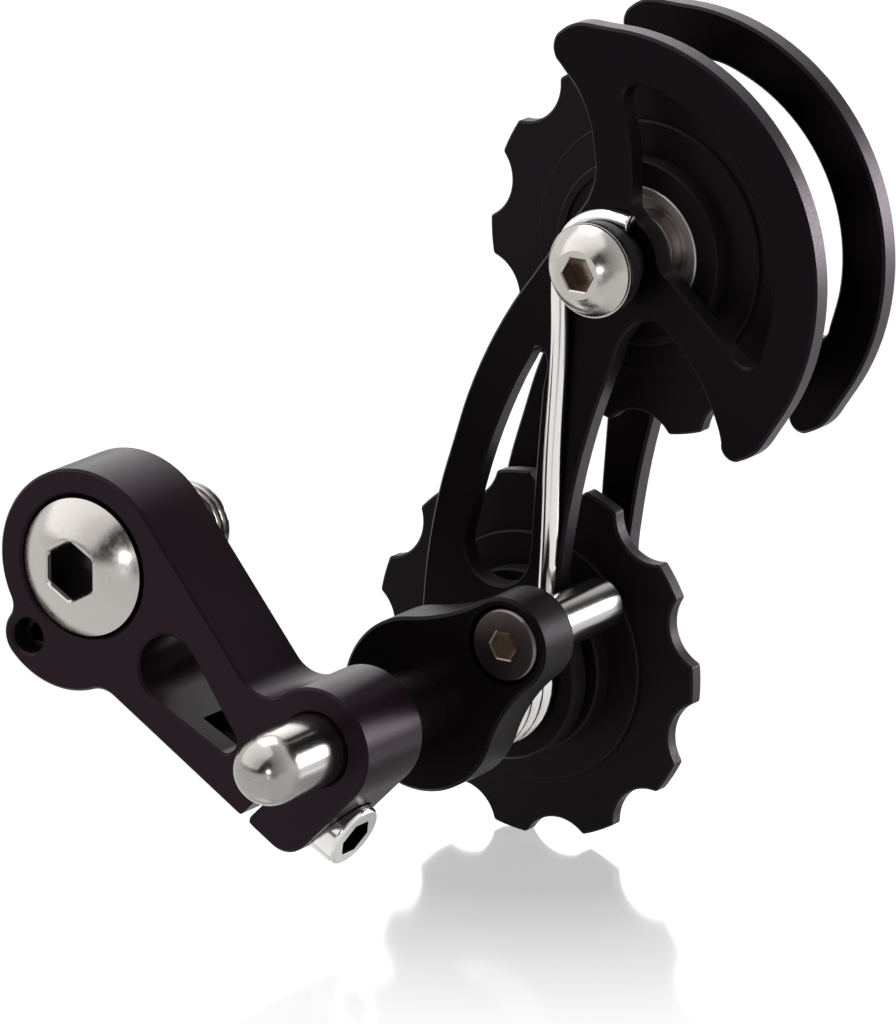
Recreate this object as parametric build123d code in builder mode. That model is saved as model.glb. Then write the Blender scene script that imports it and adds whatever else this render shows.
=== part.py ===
from build123d import *
from math import acos, atan2, cos, degrees, pi, radians, sin, sqrt
import os

os.makedirs("parts", exist_ok=True)

# Frame: x right, y away from the viewer, z up, millimetres.
# The origin is on the mounting bolt's axis, at the arm's back face.

# Fits and clearances
FIT = 0.02
RUN = 0.04
FACE_GAP = 0.1
WIRE_GAP = 0.15
REST_GAP = 0.35

# Axes
SHAFT_REACH = 34.29
SHAFT_DEG = -26.31
AXLE_PITCH = 50.9
CAGE_DEG = 72.74
POST_PITCH = 14.23
POST_LAG_DEG = 35.4

# Mounting arm
ARM_T = 10.65
ARM_HEAD_R = 10.93
ARM_BOSS_R = 6.8
ARM_EDGE = 0.28
TOP_DEG = 38.85
TOP_BLEND_R = 4.0
STRUT_DEG = -122.15
STRUT_OFFSET = 9.7
BELLY_X, BELLY_Z = -2.38, -4.14
BELLY_BEND_R = 3.0
EAR_PITCH = 11.7
EAR_DEG = -129.3
EAR_R = 3.15
EAR_NECK_R = 2.0
SLOT_BIG_R = 3.93
SLOT_BIG_PITCH = 20.04
SLOT_BIG_DEG = 164.37
SLOT_END_R = 1.45
SLOT_END_PITCH = 11.96
SLOT_END_DEG = -174.5
JAW_DEG = -135.0
JAW_R = 3.3
SLIT_W = 0.85
SLIT_ROUND_R = 0.9

# Mounting bolt, grub screw and pinch screw
BOLT_R = 4.95
BOLT_SHOULDER_R = 5.4
BOLT_HEAD_R = 7.7
BOLT_RIM_H = 2.95
BOLT_DOME_H = 2.3
BOLT_TOP_R = 3.5
BOLT_HEX = 5.5
BOLT_HEX_DEPTH = 3.4
BOLT_TAIL = 11.65
BOLT_POINT = 1.5
HEAD_SINK = 3.0
HEAD_SINK_R = 8.1
GRUB_R = 1.95
GRUB_L = 8.0
GRUB_SINK = 2.0
GRUB_HEX = 2.0
PINCH_DEG = -28.0
PINCH_PITCH = 9.12
PINCH_R = 2.48
PINCH_SEAT = 2.56
PINCH_HEAD_R = 3.75
PINCH_HEAD_H = 4.0
PINCH_SINK_R = 4.0
PINCH_HEX = 4.0
PINCH_L = 12.0
PINCH_HOLE_L = 14.8

# Pivot shaft, link, link screw and stop post
SHAFT_R = 4.0
SHAFT_NOSE = 8.25
LINK_FRONT = 8.65
LINK_T = 6.0
LINK_BIG_R = 9.82
LINK_END_R = 5.32
LINK_WAIST_TOP_R = 26.0
LINK_WAIST_LOW_R = 17.0
LINK_EDGE = 0.35
LINK_SCREW_R = 2.0
LINK_SCREW_HEAD_R = 4.13
LINK_SCREW_SINK_R = 4.45
LINK_SCREW_HEAD_H = 2.8
LINK_SCREW_HEX = 3.0
LINK_SCREW_L = 12.0
HEX_EDGE = 0.15
POST_R = 2.95
POST_END = 28.0
SLEEVE_R = 5.9

# Torsion spring
WIRE_R = 1.0
COIL_R = 7.15
COIL_TURNS = 3.65
COIL_PITCH = 2.03
HOOK_NECK_R = 3.8

# Cage plates
PLATE_T = 2.6
PLATE_FRONT = 24.28
PLATE_SPACE = 11.17
PLATE_EDGE = 0.3
PIVOT_EYE_R = 10.2
EYE_LEFT_DEG = 99.4
GUARD_R = 25.65
GUARD_START_DEG = 32.76
GUARD_END_DEG = -123.24
GUARD_TIP = 3.05
WINDOW_R = 20.15
WINDOW_HUB_R = 5.8
LEG_WINDOW_R = 4.35

# Upper bolt and hook spacer
AXLE_R = 3.0
AXLE_HEAD_R = 5.25
AXLE_HEAD_TOP_R = 2.7
AXLE_RIM_H = 0.8
AXLE_GROOVE = 0.2
AXLE_DOME_H = 2.3
AXLE_HEX = 3.5
AXLE_HEX_DEPTH = 2.2
AXLE_TAIL = 0.9
FLANGE_R = 5.0
FLANGE_T = 1.84
NECK_H = 2.34

# Pulleys and bearings
TEETH = 11
TIP_R = 20.85
TOOTH_H = 2.21
VALLEY_PITCH = 23.38
TOOTH_T = 2.0
TOOTH_CORNER_R = 0.5
TOOTH_EDGE = 0.25
DISC_R = 14.2
DISC_T = 3.2
HUB_R = 10.4
HUB_RIM = 1.0
HUB_T = 7.6
HUB_SINK = 0.35
LOWER_TOOTH_DEG = -0.44
UPPER_TOOTH_DEG = 20.69
BEARING_T = 7.0
LOWER_BEARING_R = 8.0
UPPER_BEARING_R = 7.5
RACE_T = 1.25
INNER_RACE_T = 1.4
SHIELD_T = 0.4
SHIELD_SINK = 2.0
BALLS = 9
BALL_GAP = 0.06

# Shaft end
WASHER_R = 7.5
WASHER_T = 1.5
END_SCREW_R = 2.5
END_HEAD_R = 4.75
END_HEAD_H = 2.6
END_HEX = 3.0
END_SCREW_L = 12.0


def polar(radius, deg):
    """Point at a radius and an angle from local x toward local y."""
    return Vector(radius * cos(radians(deg)), radius * sin(radians(deg)))


MOUNT = Vector(0, 0)
SHAFT = polar(SHAFT_REACH, SHAFT_DEG)
AXLE = SHAFT + polar(AXLE_PITCH, CAGE_DEG)
POST = SHAFT + polar(POST_PITCH, CAGE_DEG - POST_LAG_DEG)
LINK_BACK = LINK_FRONT + LINK_T
PLATE_BACK = PLATE_FRONT + PLATE_T
REAR_FRONT = PLATE_BACK + PLATE_SPACE
REAR_BACK = REAR_FRONT + PLATE_T
MID_Y = PLATE_BACK + PLATE_SPACE / 2
RACE_FRONT = MID_Y - BEARING_T / 2
RACE_BACK = MID_Y + BEARING_T / 2
SHAFT_END = REAR_BACK + FACE_GAP
UNDER_HEAD = PLATE_FRONT - NECK_H - FLANGE_T
WIRE_Y = PLATE_FRONT - WIRE_R - WIRE_GAP
ALONG = polar(1, CAGE_DEG)
SIDE = polar(1, CAGE_DEG + 90)


def across(centre, y):
    """Plane facing the viewer at depth y, its origin on an axis, local axes along x and z."""
    return Plane(origin=(centre.X, y, centre.Y), x_dir=(1, 0, 0), z_dir=(0, -1, 0))


def lengthwise(centre):
    """Plane through an axis, local x along the radius and local y along the depth."""
    return Plane(origin=(centre.X, 0, centre.Y), x_dir=(1, 0, 0), z_dir=(0, 0, 1))


def spin_axis(centre):
    """Axis along the depth through a centre."""
    return Axis((centre.X, 0, centre.Y), (0, 1, 0))


def bend(centre, start, end, clockwise):
    """Arc about a centre from start to end, turning the stated way."""
    first = atan2(start.Y - centre.Y, start.X - centre.X)
    last = atan2(end.Y - centre.Y, end.X - centre.X)
    if clockwise and last > first:
        last -= 2 * pi
    if not clockwise and last < first:
        last += 2 * pi
    radius = (start - centre).length
    middle = centre + polar(radius, degrees((first + last) / 2))
    return ThreePointArc(start, middle, end)


def dome(top_r, top_y, rim_r, rim_y):
    """Round crown between a flat top and a rim, centred on the axis."""
    centre_y = (rim_r**2 + rim_y**2 - top_r**2 - top_y**2) / (2 * (rim_y - top_y))
    crown_r = sqrt(rim_r**2 + (rim_y - centre_y) ** 2)
    mid_r = (top_r + rim_r) / 2
    side = 1 if top_y > centre_y else -1
    mid_y = centre_y + side * sqrt(crown_r**2 - mid_r**2)
    return ThreePointArc((top_r, top_y), (mid_r, mid_y), (rim_r, rim_y))


def near_pivot(s, t):
    """Point in the cage, s along it from the pivot and t to its left, from the shaft."""
    return ALONG * s + SIDE * t


def near_axle(s, t):
    """Point in the cage, s along it from the upper axle and t to its left, from the shaft."""
    return ALONG * (AXLE_PITCH + s) + SIDE * t


def about_axle(radius, deg):
    """Point at a radius from the upper axle, the angle counted from the cage's line."""
    return ALONG * AXLE_PITCH + polar(radius, CAGE_DEG + deg)


# Mounting arm
top_n = polar(1, TOP_DEG)
top_t = polar(1, TOP_DEG + 90)
top_level = ARM_HEAD_R - SHAFT.dot(top_n) + TOP_BLEND_R
top_reach = ARM_BOSS_R + TOP_BLEND_R
top_c = SHAFT + top_n * top_level + top_t * sqrt(top_reach**2 - top_level**2)
head_top = top_n * ARM_HEAD_R
top_end = top_c - top_n * TOP_BLEND_R
boss_start = SHAFT + (top_c - SHAFT).normalized() * ARM_BOSS_R
jaw_a = polar(1, JAW_DEG)
jaw_n = polar(1, JAW_DEG + 90)
boss_end = SHAFT + jaw_n * ARM_BOSS_R
strut_n = polar(1, STRUT_DEG)
strut_t = polar(1, STRUT_DEG + 90)
jaw_level = ARM_BOSS_R - JAW_R
jaw_run = STRUT_OFFSET - JAW_R - SHAFT.dot(strut_n) - jaw_level * jaw_n.dot(strut_n)
jaw_c = SHAFT + jaw_a * (jaw_run / jaw_a.dot(strut_n)) + jaw_n * jaw_level
ear_c = polar(EAR_PITCH, EAR_DEG)
belly_c = Vector(BELLY_X, BELLY_Z)
belly_r = (ear_c - belly_c).length + EAR_R
belly_level = STRUT_OFFSET + BELLY_BEND_R - belly_c.dot(strut_n)
belly_run = sqrt((belly_r + BELLY_BEND_R) ** 2 - belly_level**2)
bend_c = belly_c + strut_n * belly_level + strut_t * belly_run
strut_end = bend_c - strut_n * BELLY_BEND_R
belly_start = belly_c + (bend_c - belly_c).normalized() * belly_r
belly_end = ear_c + (ear_c - belly_c).normalized() * EAR_R
neck_head = ARM_HEAD_R + EAR_NECK_R
neck_ear = EAR_R + EAR_NECK_R
neck_s = (neck_head**2 - neck_ear**2 + EAR_PITCH**2) / (2 * EAR_PITCH)
neck_h = sqrt(neck_head**2 - neck_s**2)
neck_c = polar(neck_s, EAR_DEG) + polar(neck_h, EAR_DEG - 90)
ear_end = ear_c + (neck_c - ear_c).normalized() * EAR_R
head_start = neck_c.normalized() * ARM_HEAD_R
slot_a = SHAFT + polar(SLOT_BIG_PITCH, SLOT_BIG_DEG)
slot_b = SHAFT + polar(SLOT_END_PITCH, SLOT_END_DEG)
slot_line = slot_b - slot_a
slot_deg = degrees(atan2(slot_line.Y, slot_line.X))
slot_half = degrees(acos((SLOT_BIG_R - SLOT_END_R) / slot_line.length))
slot_a1 = slot_a + polar(SLOT_BIG_R, slot_deg + slot_half)
slot_a2 = slot_a + polar(SLOT_BIG_R, slot_deg - slot_half)
slot_b1 = slot_b + polar(SLOT_END_R, slot_deg + slot_half)
slot_b2 = slot_b + polar(SLOT_END_R, slot_deg - slot_half)
pinch_n = polar(1, PINCH_DEG)
pinch_at = SHAFT + polar(PINCH_PITCH, PINCH_DEG - 90)
pinch_dir = (pinch_n.X, 0, pinch_n.Y)


def slit_corner(side):
    """Centre of the round corner at one side of the slit's mouth, from the shaft."""
    off = jaw_n * (side * (SLIT_W / 2 + SLIT_ROUND_R))
    run = STRUT_OFFSET - SLIT_ROUND_R - (SHAFT + off).dot(strut_n)
    return off + jaw_a * (run / jaw_a.dot(strut_n))


slit_left = slit_corner(-1)
slit_right = slit_corner(1)


def pinch_plane(level):
    """Plane across the pinch screw's axis at a level, 0 beside the shaft."""
    spot = pinch_at + pinch_n * level
    return Plane(origin=(spot.X, -ARM_T / 2, spot.Y), x_dir=(0, 1, 0), z_dir=pinch_dir)


with BuildPart() as mount_arm:
    with BuildSketch(across(MOUNT, 0)):
        with BuildLine():
            Line(head_top, top_end)
            bend(top_c, top_end, boss_start, False)
            bend(SHAFT, boss_start, boss_end, True)
            Line(boss_end, jaw_c + jaw_n * JAW_R)
            bend(jaw_c, jaw_c + jaw_n * JAW_R, jaw_c + strut_n * JAW_R, True)
            Line(jaw_c + strut_n * JAW_R, strut_end)
            bend(bend_c, strut_end, belly_start, False)
            bend(belly_c, belly_start, belly_end, True)
            bend(ear_c, belly_end, ear_end, True)
            bend(neck_c, ear_end, head_start, False)
            bend(MOUNT, head_start, head_top, True)
        make_face()
        with BuildLine():
            Line(slot_a1, slot_b1)
            bend(slot_b, slot_b1, slot_b2, True)
            Line(slot_b2, slot_a2)
            bend(slot_a, slot_a2, slot_a1, True)
        make_face(mode=Mode.SUBTRACT)
    extrude(amount=ARM_T)
    chamfer(mount_arm.faces().sort_by(Axis.Y)[0].edges(), ARM_EDGE)
    chamfer(mount_arm.faces().sort_by(Axis.Y)[-1].edges(), ARM_EDGE)
    # Bolt hole with its counterbore
    with BuildSketch(lengthwise(MOUNT)):
        with BuildLine():
            Polyline(
                (0, -ARM_T - 1),
                (HEAD_SINK_R + ARM_EDGE + 1, -ARM_T - 1),
                (HEAD_SINK_R + ARM_EDGE, -ARM_T),
                (HEAD_SINK_R, -ARM_T + ARM_EDGE),
                (HEAD_SINK_R, -ARM_T + HEAD_SINK),
                (BOLT_SHOULDER_R + FIT, -ARM_T + HEAD_SINK),
                (BOLT_SHOULDER_R + FIT, 1),
                (0, 1),
                close=True,
            )
        make_face()
    revolve(axis=spin_axis(MOUNT), mode=Mode.SUBTRACT)
    # Shaft bore with its lead-ins
    with BuildSketch(lengthwise(SHAFT)):
        with BuildLine():
            Polyline(
                (0, -ARM_T - 1),
                (SHAFT_R + RUN + ARM_EDGE + 1, -ARM_T - 1),
                (SHAFT_R + RUN + ARM_EDGE, -ARM_T),
                (SHAFT_R + RUN, -ARM_T + ARM_EDGE),
                (SHAFT_R + RUN, -ARM_EDGE),
                (SHAFT_R + RUN + ARM_EDGE, 0),
                (SHAFT_R + RUN + ARM_EDGE + 1, 1),
                (0, 1),
                close=True,
            )
        make_face()
    revolve(axis=spin_axis(SHAFT), mode=Mode.SUBTRACT)
    # Grub screw hole in the ear
    with BuildSketch(lengthwise(ear_c)):
        with BuildLine():
            Polyline(
                (0, -ARM_T - 1),
                (GRUB_R + FIT + ARM_EDGE + 1, -ARM_T - 1),
                (GRUB_R + FIT + ARM_EDGE, -ARM_T),
                (GRUB_R + FIT, -ARM_T + ARM_EDGE),
                (GRUB_R + FIT, 1),
                (0, 1),
                close=True,
            )
        make_face()
    revolve(axis=spin_axis(ear_c), mode=Mode.SUBTRACT)
    # Clamp slit, from the bore out through the jaw, with a rounded mouth
    with BuildSketch(across(SHAFT, 0)):
        with BuildLine():
            Line(jaw_n * (-SLIT_W / 2), slit_left + jaw_n * SLIT_ROUND_R)
            bend(slit_left, slit_left + jaw_n * SLIT_ROUND_R, slit_left + strut_n * SLIT_ROUND_R, True)
            Polyline(
                slit_left + strut_n * SLIT_ROUND_R,
                slit_left + strut_n * (SLIT_ROUND_R + 1),
                slit_right + strut_n * (SLIT_ROUND_R + 1),
                slit_right + strut_n * SLIT_ROUND_R,
            )
            bend(slit_right, slit_right + strut_n * SLIT_ROUND_R, slit_right - jaw_n * SLIT_ROUND_R, True)
            Polyline(
                slit_right - jaw_n * SLIT_ROUND_R,
                jaw_n * (SLIT_W / 2),
                jaw_n * (-SLIT_W / 2),
            )
        make_face()
    extrude(amount=ARM_T, both=True, mode=Mode.SUBTRACT)
    # Pinch screw hole and head counterbore
    with BuildSketch(pinch_plane(-PINCH_HOLE_L)):
        Circle(PINCH_R + FIT)
    extrude(amount=PINCH_HOLE_L + PINCH_SEAT + FIT, mode=Mode.SUBTRACT)
    with BuildSketch(pinch_plane(PINCH_SEAT)):
        Circle(PINCH_SINK_R)
    extrude(amount=ARM_BOSS_R, mode=Mode.SUBTRACT)
mount_arm.part.label = "mount_arm"
export_step(mount_arm.part, "parts/mount_arm.step")

# Mounting bolt
bolt_seat = -ARM_T + HEAD_SINK
bolt_rim = bolt_seat - BOLT_RIM_H
bolt_top = bolt_rim - BOLT_DOME_H
with BuildPart() as mount_bolt:
    with BuildSketch(lengthwise(MOUNT)):
        with BuildLine():
            Line((0, bolt_top), (BOLT_TOP_R, bolt_top))
            dome(BOLT_TOP_R, bolt_top, BOLT_HEAD_R, bolt_rim)
            Polyline(
                (BOLT_HEAD_R, bolt_rim),
                (BOLT_HEAD_R, bolt_seat),
                (BOLT_SHOULDER_R, bolt_seat),
                (BOLT_SHOULDER_R, 0),
                (BOLT_R, 0),
                (BOLT_R, BOLT_TAIL - BOLT_POINT),
                (BOLT_R - BOLT_POINT, BOLT_TAIL),
                (0, BOLT_TAIL),
                (0, bolt_top),
            )
        make_face()
    revolve(axis=spin_axis(MOUNT))
    with BuildSketch(across(MOUNT, bolt_top + BOLT_HEX_DEPTH)):
        RegularPolygon(BOLT_HEX / 2, 6, major_radius=False)
    extrude(amount=BOLT_HEX_DEPTH + 1, mode=Mode.SUBTRACT)
mount_bolt.part.label = "mount_bolt"
export_step(mount_bolt.part, "parts/mount_bolt.step")

# Grub screw in the ear
with BuildPart() as stop_grub_screw:
    with BuildSketch(across(ear_c, -ARM_T + GRUB_SINK + GRUB_L)):
        Circle(GRUB_R)
    extrude(amount=GRUB_L)
    chamfer(stop_grub_screw.edges(), 0.3)
    with BuildSketch(across(ear_c, -ARM_T + GRUB_SINK + GRUB_HEX)):
        RegularPolygon(GRUB_HEX / 2, 6, major_radius=False)
    extrude(amount=GRUB_HEX + 1, mode=Mode.SUBTRACT)
stop_grub_screw.part.label = "stop_grub_screw"
export_step(stop_grub_screw.part, "parts/stop_grub_screw.step")

# Pinch screw
with BuildPart() as clamp_screw:
    with BuildSketch(pinch_plane(PINCH_SEAT)):
        Circle(PINCH_HEAD_R)
    extrude(amount=PINCH_HEAD_H)
    fillet(clamp_screw.edges().sort_by(Axis(pinch_plane(0).origin, pinch_dir))[-1], 0.5)
    with BuildSketch(pinch_plane(PINCH_SEAT - PINCH_L)):
        Circle(PINCH_R)
    extrude(amount=PINCH_L)
    with BuildSketch(pinch_plane(PINCH_SEAT + PINCH_HEAD_H / 2)):
        RegularPolygon(PINCH_HEX / 2, 6, major_radius=False)
    extrude(amount=PINCH_HEAD_H, mode=Mode.SUBTRACT)
clamp_screw.part.label = "clamp_screw"
export_step(clamp_screw.part, "parts/clamp_screw.step")

# Pivot shaft with its round nose
nose_y = -ARM_T - SHAFT_NOSE
with BuildPart() as pivot_shaft:
    with BuildSketch(lengthwise(SHAFT)):
        with BuildLine():
            ThreePointArc(
                (0, nose_y - SHAFT_R),
                (SHAFT_R * sin(pi / 4), nose_y - SHAFT_R * cos(pi / 4)),
                (SHAFT_R, nose_y),
            )
            Polyline(
                (SHAFT_R, nose_y),
                (SHAFT_R, SHAFT_END),
                (END_SCREW_R + FIT, SHAFT_END),
                (END_SCREW_R + FIT, SHAFT_END - END_SCREW_L),
                (0, SHAFT_END - END_SCREW_L),
                (0, nose_y - SHAFT_R),
            )
        make_face()
    revolve(axis=spin_axis(SHAFT))
pivot_shaft.part.label = "pivot_shaft"
export_step(pivot_shaft.part, "parts/pivot_shaft.step")

# Link between the shaft and the stop post
link_deg = CAGE_DEG - POST_LAG_DEG
link_line = polar(1, link_deg)
link_side = polar(1, link_deg + 90)


def waist_centre(waist_r, side):
    """Centre of the hollow arc that touches both round ends of the link, from the shaft."""
    from_big = LINK_BIG_R + waist_r
    from_end = LINK_END_R + waist_r
    s = (from_big**2 - from_end**2 + POST_PITCH**2) / (2 * POST_PITCH)
    return link_line * s + link_side * (side * sqrt(from_big**2 - s**2))


link_end = polar(POST_PITCH, link_deg)
waist_top = waist_centre(LINK_WAIST_TOP_R, 1)
waist_low = waist_centre(LINK_WAIST_LOW_R, -1)
big_top = waist_top.normalized() * LINK_BIG_R
big_low = waist_low.normalized() * LINK_BIG_R
end_top = link_end + (waist_top - link_end).normalized() * LINK_END_R
end_low = link_end + (waist_low - link_end).normalized() * LINK_END_R
with BuildPart() as link:
    with BuildSketch(across(SHAFT, LINK_BACK)):
        with BuildLine():
            bend(waist_top, big_top, end_top, False)
            bend(link_end, end_top, end_low, True)
            bend(waist_low, end_low, big_low, False)
            bend(MOUNT, big_low, big_top, True)
        make_face()
    extrude(amount=LINK_T)
    chamfer(link.faces().sort_by(Axis.Y)[0].edges(), LINK_EDGE)
    chamfer(link.faces().sort_by(Axis.Y)[-1].edges(), LINK_EDGE)
    with BuildSketch(across(SHAFT, LINK_BACK)):
        Circle(SHAFT_R + FIT)
        with Locations(link_end):
            Circle(LINK_SCREW_R + FIT)
    extrude(amount=LINK_T, mode=Mode.SUBTRACT)
    with BuildSketch(across(POST, LINK_FRONT + LINK_SCREW_HEAD_H)):
        Circle(LINK_SCREW_SINK_R)
    extrude(amount=LINK_T, mode=Mode.SUBTRACT)
link.part.label = "link"
export_step(link.part, "parts/link.step")

# Link screw
with BuildPart() as link_screw:
    with BuildSketch(across(POST, LINK_FRONT + LINK_SCREW_HEAD_H)):
        Circle(LINK_SCREW_HEAD_R)
    extrude(amount=LINK_SCREW_HEAD_H)
    chamfer(link_screw.edges().sort_by(Axis.Y)[0], 0.3)
    with BuildSketch(across(POST, LINK_FRONT + LINK_SCREW_HEAD_H + LINK_SCREW_L)):
        Circle(LINK_SCREW_R)
    extrude(amount=LINK_SCREW_L)
    with BuildSketch(across(POST, LINK_FRONT + LINK_SCREW_HEAD_H * 0.7)):
        RegularPolygon(LINK_SCREW_HEX / 2, 6, major_radius=False)
    extrude(amount=LINK_SCREW_HEAD_H, mode=Mode.SUBTRACT)
    chamfer(link_screw.faces().sort_by(Axis.Y)[0].inner_wires().edges(), HEX_EDGE)
link_screw.part.label = "link_screw"
export_step(link_screw.part, "parts/link_screw.step")

# Stop post
with BuildPart() as stop_post:
    with BuildSketch(across(POST, POST_END)):
        Circle(POST_R)
    extrude(amount=POST_END - LINK_BACK)
    chamfer(stop_post.edges().sort_by(Axis.Y)[-1], 0.4)
    with BuildSketch(across(POST, LINK_FRONT + LINK_SCREW_HEAD_H + LINK_SCREW_L + FIT)):
        Circle(LINK_SCREW_R + FIT)
    extrude(amount=LINK_SCREW_L, mode=Mode.SUBTRACT)
stop_post.part.label = "stop_post"
export_step(stop_post.part, "parts/stop_post.step")

# Sleeve inside the coil
with BuildPart() as coil_sleeve:
    with BuildSketch(across(SHAFT, PLATE_FRONT - FACE_GAP)):
        Circle(SLEEVE_R)
        Circle(SHAFT_R + FIT, mode=Mode.SUBTRACT)
    extrude(amount=PLATE_FRONT - FACE_GAP - LINK_BACK)
coil_sleeve.part.label = "coil_sleeve"
export_step(coil_sleeve.part, "parts/coil_sleeve.step")


def wire_at(point, y):
    """Point on the spring wire's centre line, from a point about the shaft and a depth."""
    return Vector(SHAFT.X + point.X, y, SHAFT.Y + point.Y)


# Torsion spring: a coil, then a long leg that passes the post and hooks over the spacer
coil_steps = int(round(COIL_TURNS * 20))
coil_points = []
for step in range(coil_steps + 1):
    back = COIL_TURNS * (1 - step / coil_steps)
    coil_points.append(wire_at(polar(COIL_R, -360 * back), WIRE_Y - COIL_PITCH * back))
leg_clear = POST_R + WIRE_R + WIRE_GAP
leg_post = polar(POST_PITCH, link_deg) - Vector(leg_clear, 0)
hook_r = HOOK_NECK_R + WIRE_R + WIRE_GAP
leg_points = [
    wire_at(Vector(COIL_R, WIRE_GAP), WIRE_Y),
    wire_at(leg_post, WIRE_Y),
    wire_at(near_pivot(18.0, -2.4), WIRE_Y),
    wire_at(near_pivot(28.19, 0.28), WIRE_Y),
    wire_at(near_axle(-8.72, 3.77), WIRE_Y),
    wire_at(about_axle(hook_r + 0.9, 108), WIRE_Y),
    wire_at(about_axle(hook_r + 0.5, 74), WIRE_Y),
    wire_at(about_axle(hook_r + 0.15, 40), WIRE_Y),
    wire_at(about_axle(hook_r + 0.15, 12), WIRE_Y),
    wire_at(about_axle(hook_r + 0.6, -14), WIRE_Y),
]
with BuildPart() as torsion_spring:
    with BuildLine() as coil_line:
        Spline(*coil_points)
    with BuildSketch(Plane(origin=coil_line.line @ 0, z_dir=coil_line.line % 0)):
        Circle(WIRE_R)
    sweep(path=coil_line.line)
    with BuildLine() as leg_line:
        Spline(*leg_points)
    with BuildSketch(Plane(origin=leg_line.line @ 0, z_dir=leg_line.line % 0)):
        Circle(WIRE_R)
    sweep(path=leg_line.line)
torsion_spring.part.label = "torsion_spring"
export_step(torsion_spring.part, "parts/torsion_spring.step")

# Cage plate outline
post_st = polar(POST_PITCH, -POST_LAG_DEG)
edge_dir = polar(1, 16.9)
edge_n = polar(1, 106.9)
edge_mid = post_st + edge_n * (POST_R + REST_GAP)
edge_run = edge_mid.dot(edge_dir)
edge_drop = edge_run - sqrt(edge_run**2 - edge_mid.length**2 + PIVOT_EYE_R**2)
edge_high = edge_mid + edge_dir * 1.84
edge_low = edge_mid - edge_dir * edge_drop
eye_left = polar(PIVOT_EYE_R, EYE_LEFT_DEG)
eye_low = polar(PIVOT_EYE_R, 213)


def thru(start, middle, end, count):
    """Points along the arc through three points, without its last one."""
    arc = Edge.make_three_point_arc(start, middle, end)
    return [arc.position_at(step / count) for step in range(count)]


def straight(start, end, count):
    """Points along a line, without its last one."""
    return [start + (end - start) * (step / count) for step in range(count)]


def turn(start, heading, end):
    """Arc that leaves a point along a heading and ends at another point, or a line if straight."""
    chord = end - start
    if abs(heading.X * chord.Y - heading.Y * chord.X) < 1e-5:
        return Line(start, end)
    return TangentArc(start, end, tangent=heading)


def flow(points):
    """Closed chain of tangent arcs through points."""
    count = len(points)
    heads = []
    for index in range(count):
        before = points[index] - points[index - 1]
        after = points[(index + 1) % count] - points[index]
        swing = atan2(before.X * after.Y - before.Y * after.X, before.dot(after))
        share = before.length / (before.length + after.length)
        deg = degrees(atan2(before.Y, before.X) + swing * share)
        heads.append(polar(1, deg))
    for index in range(count):
        start, end = points[index], points[(index + 1) % count]
        out, into = heads[index], heads[(index + 1) % count]
        chord = end - start
        spread = 2 * (1 - out.dot(into))
        lean = 2 * chord.dot(out + into)
        reach = chord.length**2 / lean
        if spread > 1e-9:
            reach = (sqrt(lean**2 + 4 * spread * chord.length**2) - lean) / (2 * spread)
        knee_a = start + out * reach
        knee_b = end - into * reach
        middle = (knee_a + knee_b) / 2
        turn(start, out, middle)
        turn(middle, (knee_b - knee_a).normalized(), end)


def plate_edges():
    """Closed outer edge of a cage plate, drawn about the shaft."""
    guard_start = about_axle(GUARD_R, GUARD_START_DEG)
    guard_mid = about_axle(GUARD_R, (GUARD_START_DEG + GUARD_END_DEG) / 2)
    guard_end = about_axle(GUARD_R, GUARD_END_DEG)
    tip = about_axle(GUARD_R - GUARD_TIP, GUARD_END_DEG - 2.5)
    tip_mid = about_axle(GUARD_R - GUARD_TIP / 3, GUARD_END_DEG - 3.4)
    arch_a, arch_b = near_axle(-4.99, -9.12), near_axle(-6.62, -3.99)
    high = near_pivot(edge_high.X, edge_high.Y)
    low = near_pivot(edge_low.X, edge_low.Y)
    left = near_pivot(eye_left.X, eye_left.Y)
    waist, shoulder = near_pivot(22.38, 13.17), near_axle(-4.95, 8.83)
    neck_a, neck_b, horn = near_axle(5.26, 5.3), near_axle(10.53, 6.2), near_axle(17.6, 12.84)
    points = thru(guard_start, guard_mid, guard_end, 10)
    points += thru(guard_end, tip_mid, tip, 4)
    points += thru(tip, near_axle(-8.5, -14.47), arch_a, 4)
    points += thru(arch_a, near_axle(-4.64, -5.84), arch_b, 4)
    points += thru(arch_b, near_axle(-18.83, -2.71), high, 5)
    points += straight(high, low, 4)
    points += thru(low, near_pivot(eye_low.X, eye_low.Y), left, 10)[1:]
    points += thru(left, near_pivot(10.04, 12.67), waist, 4)
    points += thru(waist, near_axle(-17.47, 12.38), shoulder, 4)
    points += straight(shoulder, neck_a, 3)
    points += thru(neck_a, near_axle(8.09, 5.29), neck_b, 3)
    points += thru(neck_b, near_axle(14.5, 8.59), horn, 3)
    points += thru(horn, near_axle(19.08, 14.41), guard_start, 4)
    flow(points)


def window_edges():
    """Closed edge of the D window beside the upper axle."""
    start = about_axle(WINDOW_R, 7.2)
    end = about_axle(WINDOW_R, -94.7)
    hub_low = about_axle(WINDOW_HUB_R, -67.7)
    hub_high = about_axle(WINDOW_HUB_R, -12.7)
    sill_a, sill_b = near_axle(-3.86, -17.7), near_axle(1.23, -6.84)
    rise_a, rise_b = near_axle(7.49, 0.13), near_axle(17.08, 4.31)
    points = thru(start, about_axle(WINDOW_R, -43.0), end, 7)
    points += thru(end, near_axle(-3.52, -19.52), sill_a, 4)
    points += straight(sill_a, sill_b, 4)
    points += thru(sill_b, near_axle(1.58, -5.95), hub_low, 2)
    points += thru(hub_low, about_axle(WINDOW_HUB_R, -40.0), hub_high, 4)
    points += thru(hub_high, near_axle(6.25, -0.43), rise_a, 3)
    points += thru(rise_a, near_axle(12.6, 1.88), rise_b, 4)
    points += thru(rise_b, near_axle(18.93, 4.26), start, 4)
    flow(points)


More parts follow.
